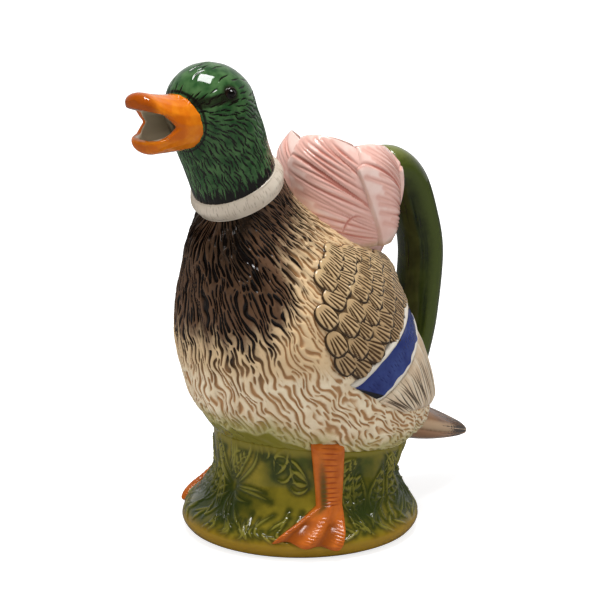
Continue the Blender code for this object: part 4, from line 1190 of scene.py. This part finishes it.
for name, side, leg_angle in (("left_leg", 1, -31), ("right_leg", -1, -9)):
    place = leg_place(side, leg_angle)
    leg = plate(name + "_relief", place, leg_height, -1.5 * mm, 110, 150, side < 0, leg_paint)
    lines = [place(u, v, leg_height(u, v)) for u, v in scales]
    engrave(leg, lines, 0.85 * mm, 0.4 * mm, leg_glaze, weights=weights)
    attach(leg, "root")
    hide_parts(name)


# Stage: a pale floor of studio paper, white to the camera, that keeps the jug's shadow. It is darker in the
# mirror of the glaze.
bpy.ops.mesh.primitive_plane_add(size=12, location=(0, 0, -0.0002))
floor = bpy.context.object
floor.name = "studio_floor"
floor_paper = bpy.data.materials.new("white_studio_paper")
floor_paper.use_nodes = True
tree = floor_paper.node_tree
shader = tree.nodes["Principled BSDF"]
mirrored = add(tree, "LightPath", out="Is Glossy Ray")
paper = add(tree, "Mix", mirrored, linear("c4c4c4"), linear("6c6c6c"), data_type="RGBA")
tree.links.new(paper, shader.inputs["Base Color"])
shader.inputs["Roughness"].default_value = 0.9
shader.inputs["Emission Color"].default_value = (1, 1, 1, 1)
place = add(tree, "TexCoord", out="Object")
far = add(tree, "VectorMath", place, out="Value", operation="LENGTH")
far = add(tree, "MapRange", far, 0.1, 0.7, 0.75, 1.0, interpolation_type="SMOOTHSTEP")
seen = add(tree, "LightPath", out="Is Camera Ray")
shown = add(tree, "Math", far, seen, operation="MULTIPLY")
tree.links.new(shown, shader.inputs["Emission Strength"])
floor.data.materials.append(floor_paper)


# Light: a softbox overhead, whose mirror image is the highlight on the glaze, and two wide ones at the left
# front and the right that aren't mirrored, in a white studio that is brightest behind.
jug_middle = (0, 0, 0.12)


def softbox(name, spot, width, depth, power, mirrored=True):
    lamp = bpy.data.lights.new(name, "AREA")
    lamp.shape = "RECTANGLE"
    lamp.size, lamp.size_y = width, depth
    lamp.energy = power
    box = put(name, lamp)
    box.location = spot
    box.rotation_euler = (Vector(jug_middle) - Vector(spot)).to_track_quat("-Z", "Y").to_euler()
    box.visible_glossy = mirrored


softbox("overhead softbox", (0.06, -0.12, 1.28), 0.55, 0.4, 13)
softbox("left softbox", (-0.5, -1.3, 0.6), 0.7, 0.9, 6.5, False)
softbox("right softbox", (1.5, 0.3, 0.7), 1.0, 1.1, 5.6, False)
world = bpy.data.worlds.new("white studio")
bpy.context.scene.world = world
world.use_nodes = True
tree = world.node_tree
back = tree.nodes["Background"]
rays = add(tree, "LightPath").node.outputs
shiny = add(tree, "Math", rays["Is Glossy Ray"], rays["Is Transmission Ray"], operation="MAXIMUM")
way = add(tree, "TexCoord", out="Generated")
behind = add(tree, "VectorMath", way, (-0.7, 0.7, 0.0), out="Value", operation="DOT_PRODUCT")
behind = add(tree, "MapRange", behind, 0.2, 0.9, 0.02, 0.6)
level = add(tree, "Mix", shiny, 0.48, behind)
level = add(tree, "Mix", rays["Is Camera Ray"], level, 1.0)
tree.links.new(level, back.inputs["Strength"])
back.inputs["Color"].default_value = (1, 1, 1, 1)


# Camera: the photograph's angle, a little above the duck's left front, through a long lens. The picture keeps
# plain colours, without a film look.
lens = bpy.data.cameras.new("camera")
lens.lens = 147.6
lens.sensor_width = 36
camera = put("camera", lens)
camera.location = (0.8595, -0.8595, 0.4108)
camera.rotation_euler = (Vector((0, 0, 0.119)) - camera.location).to_track_quat("-Z", "Y").to_euler()
bpy.context.scene.camera = camera
bpy.context.scene.view_settings.view_transform = "Standard"
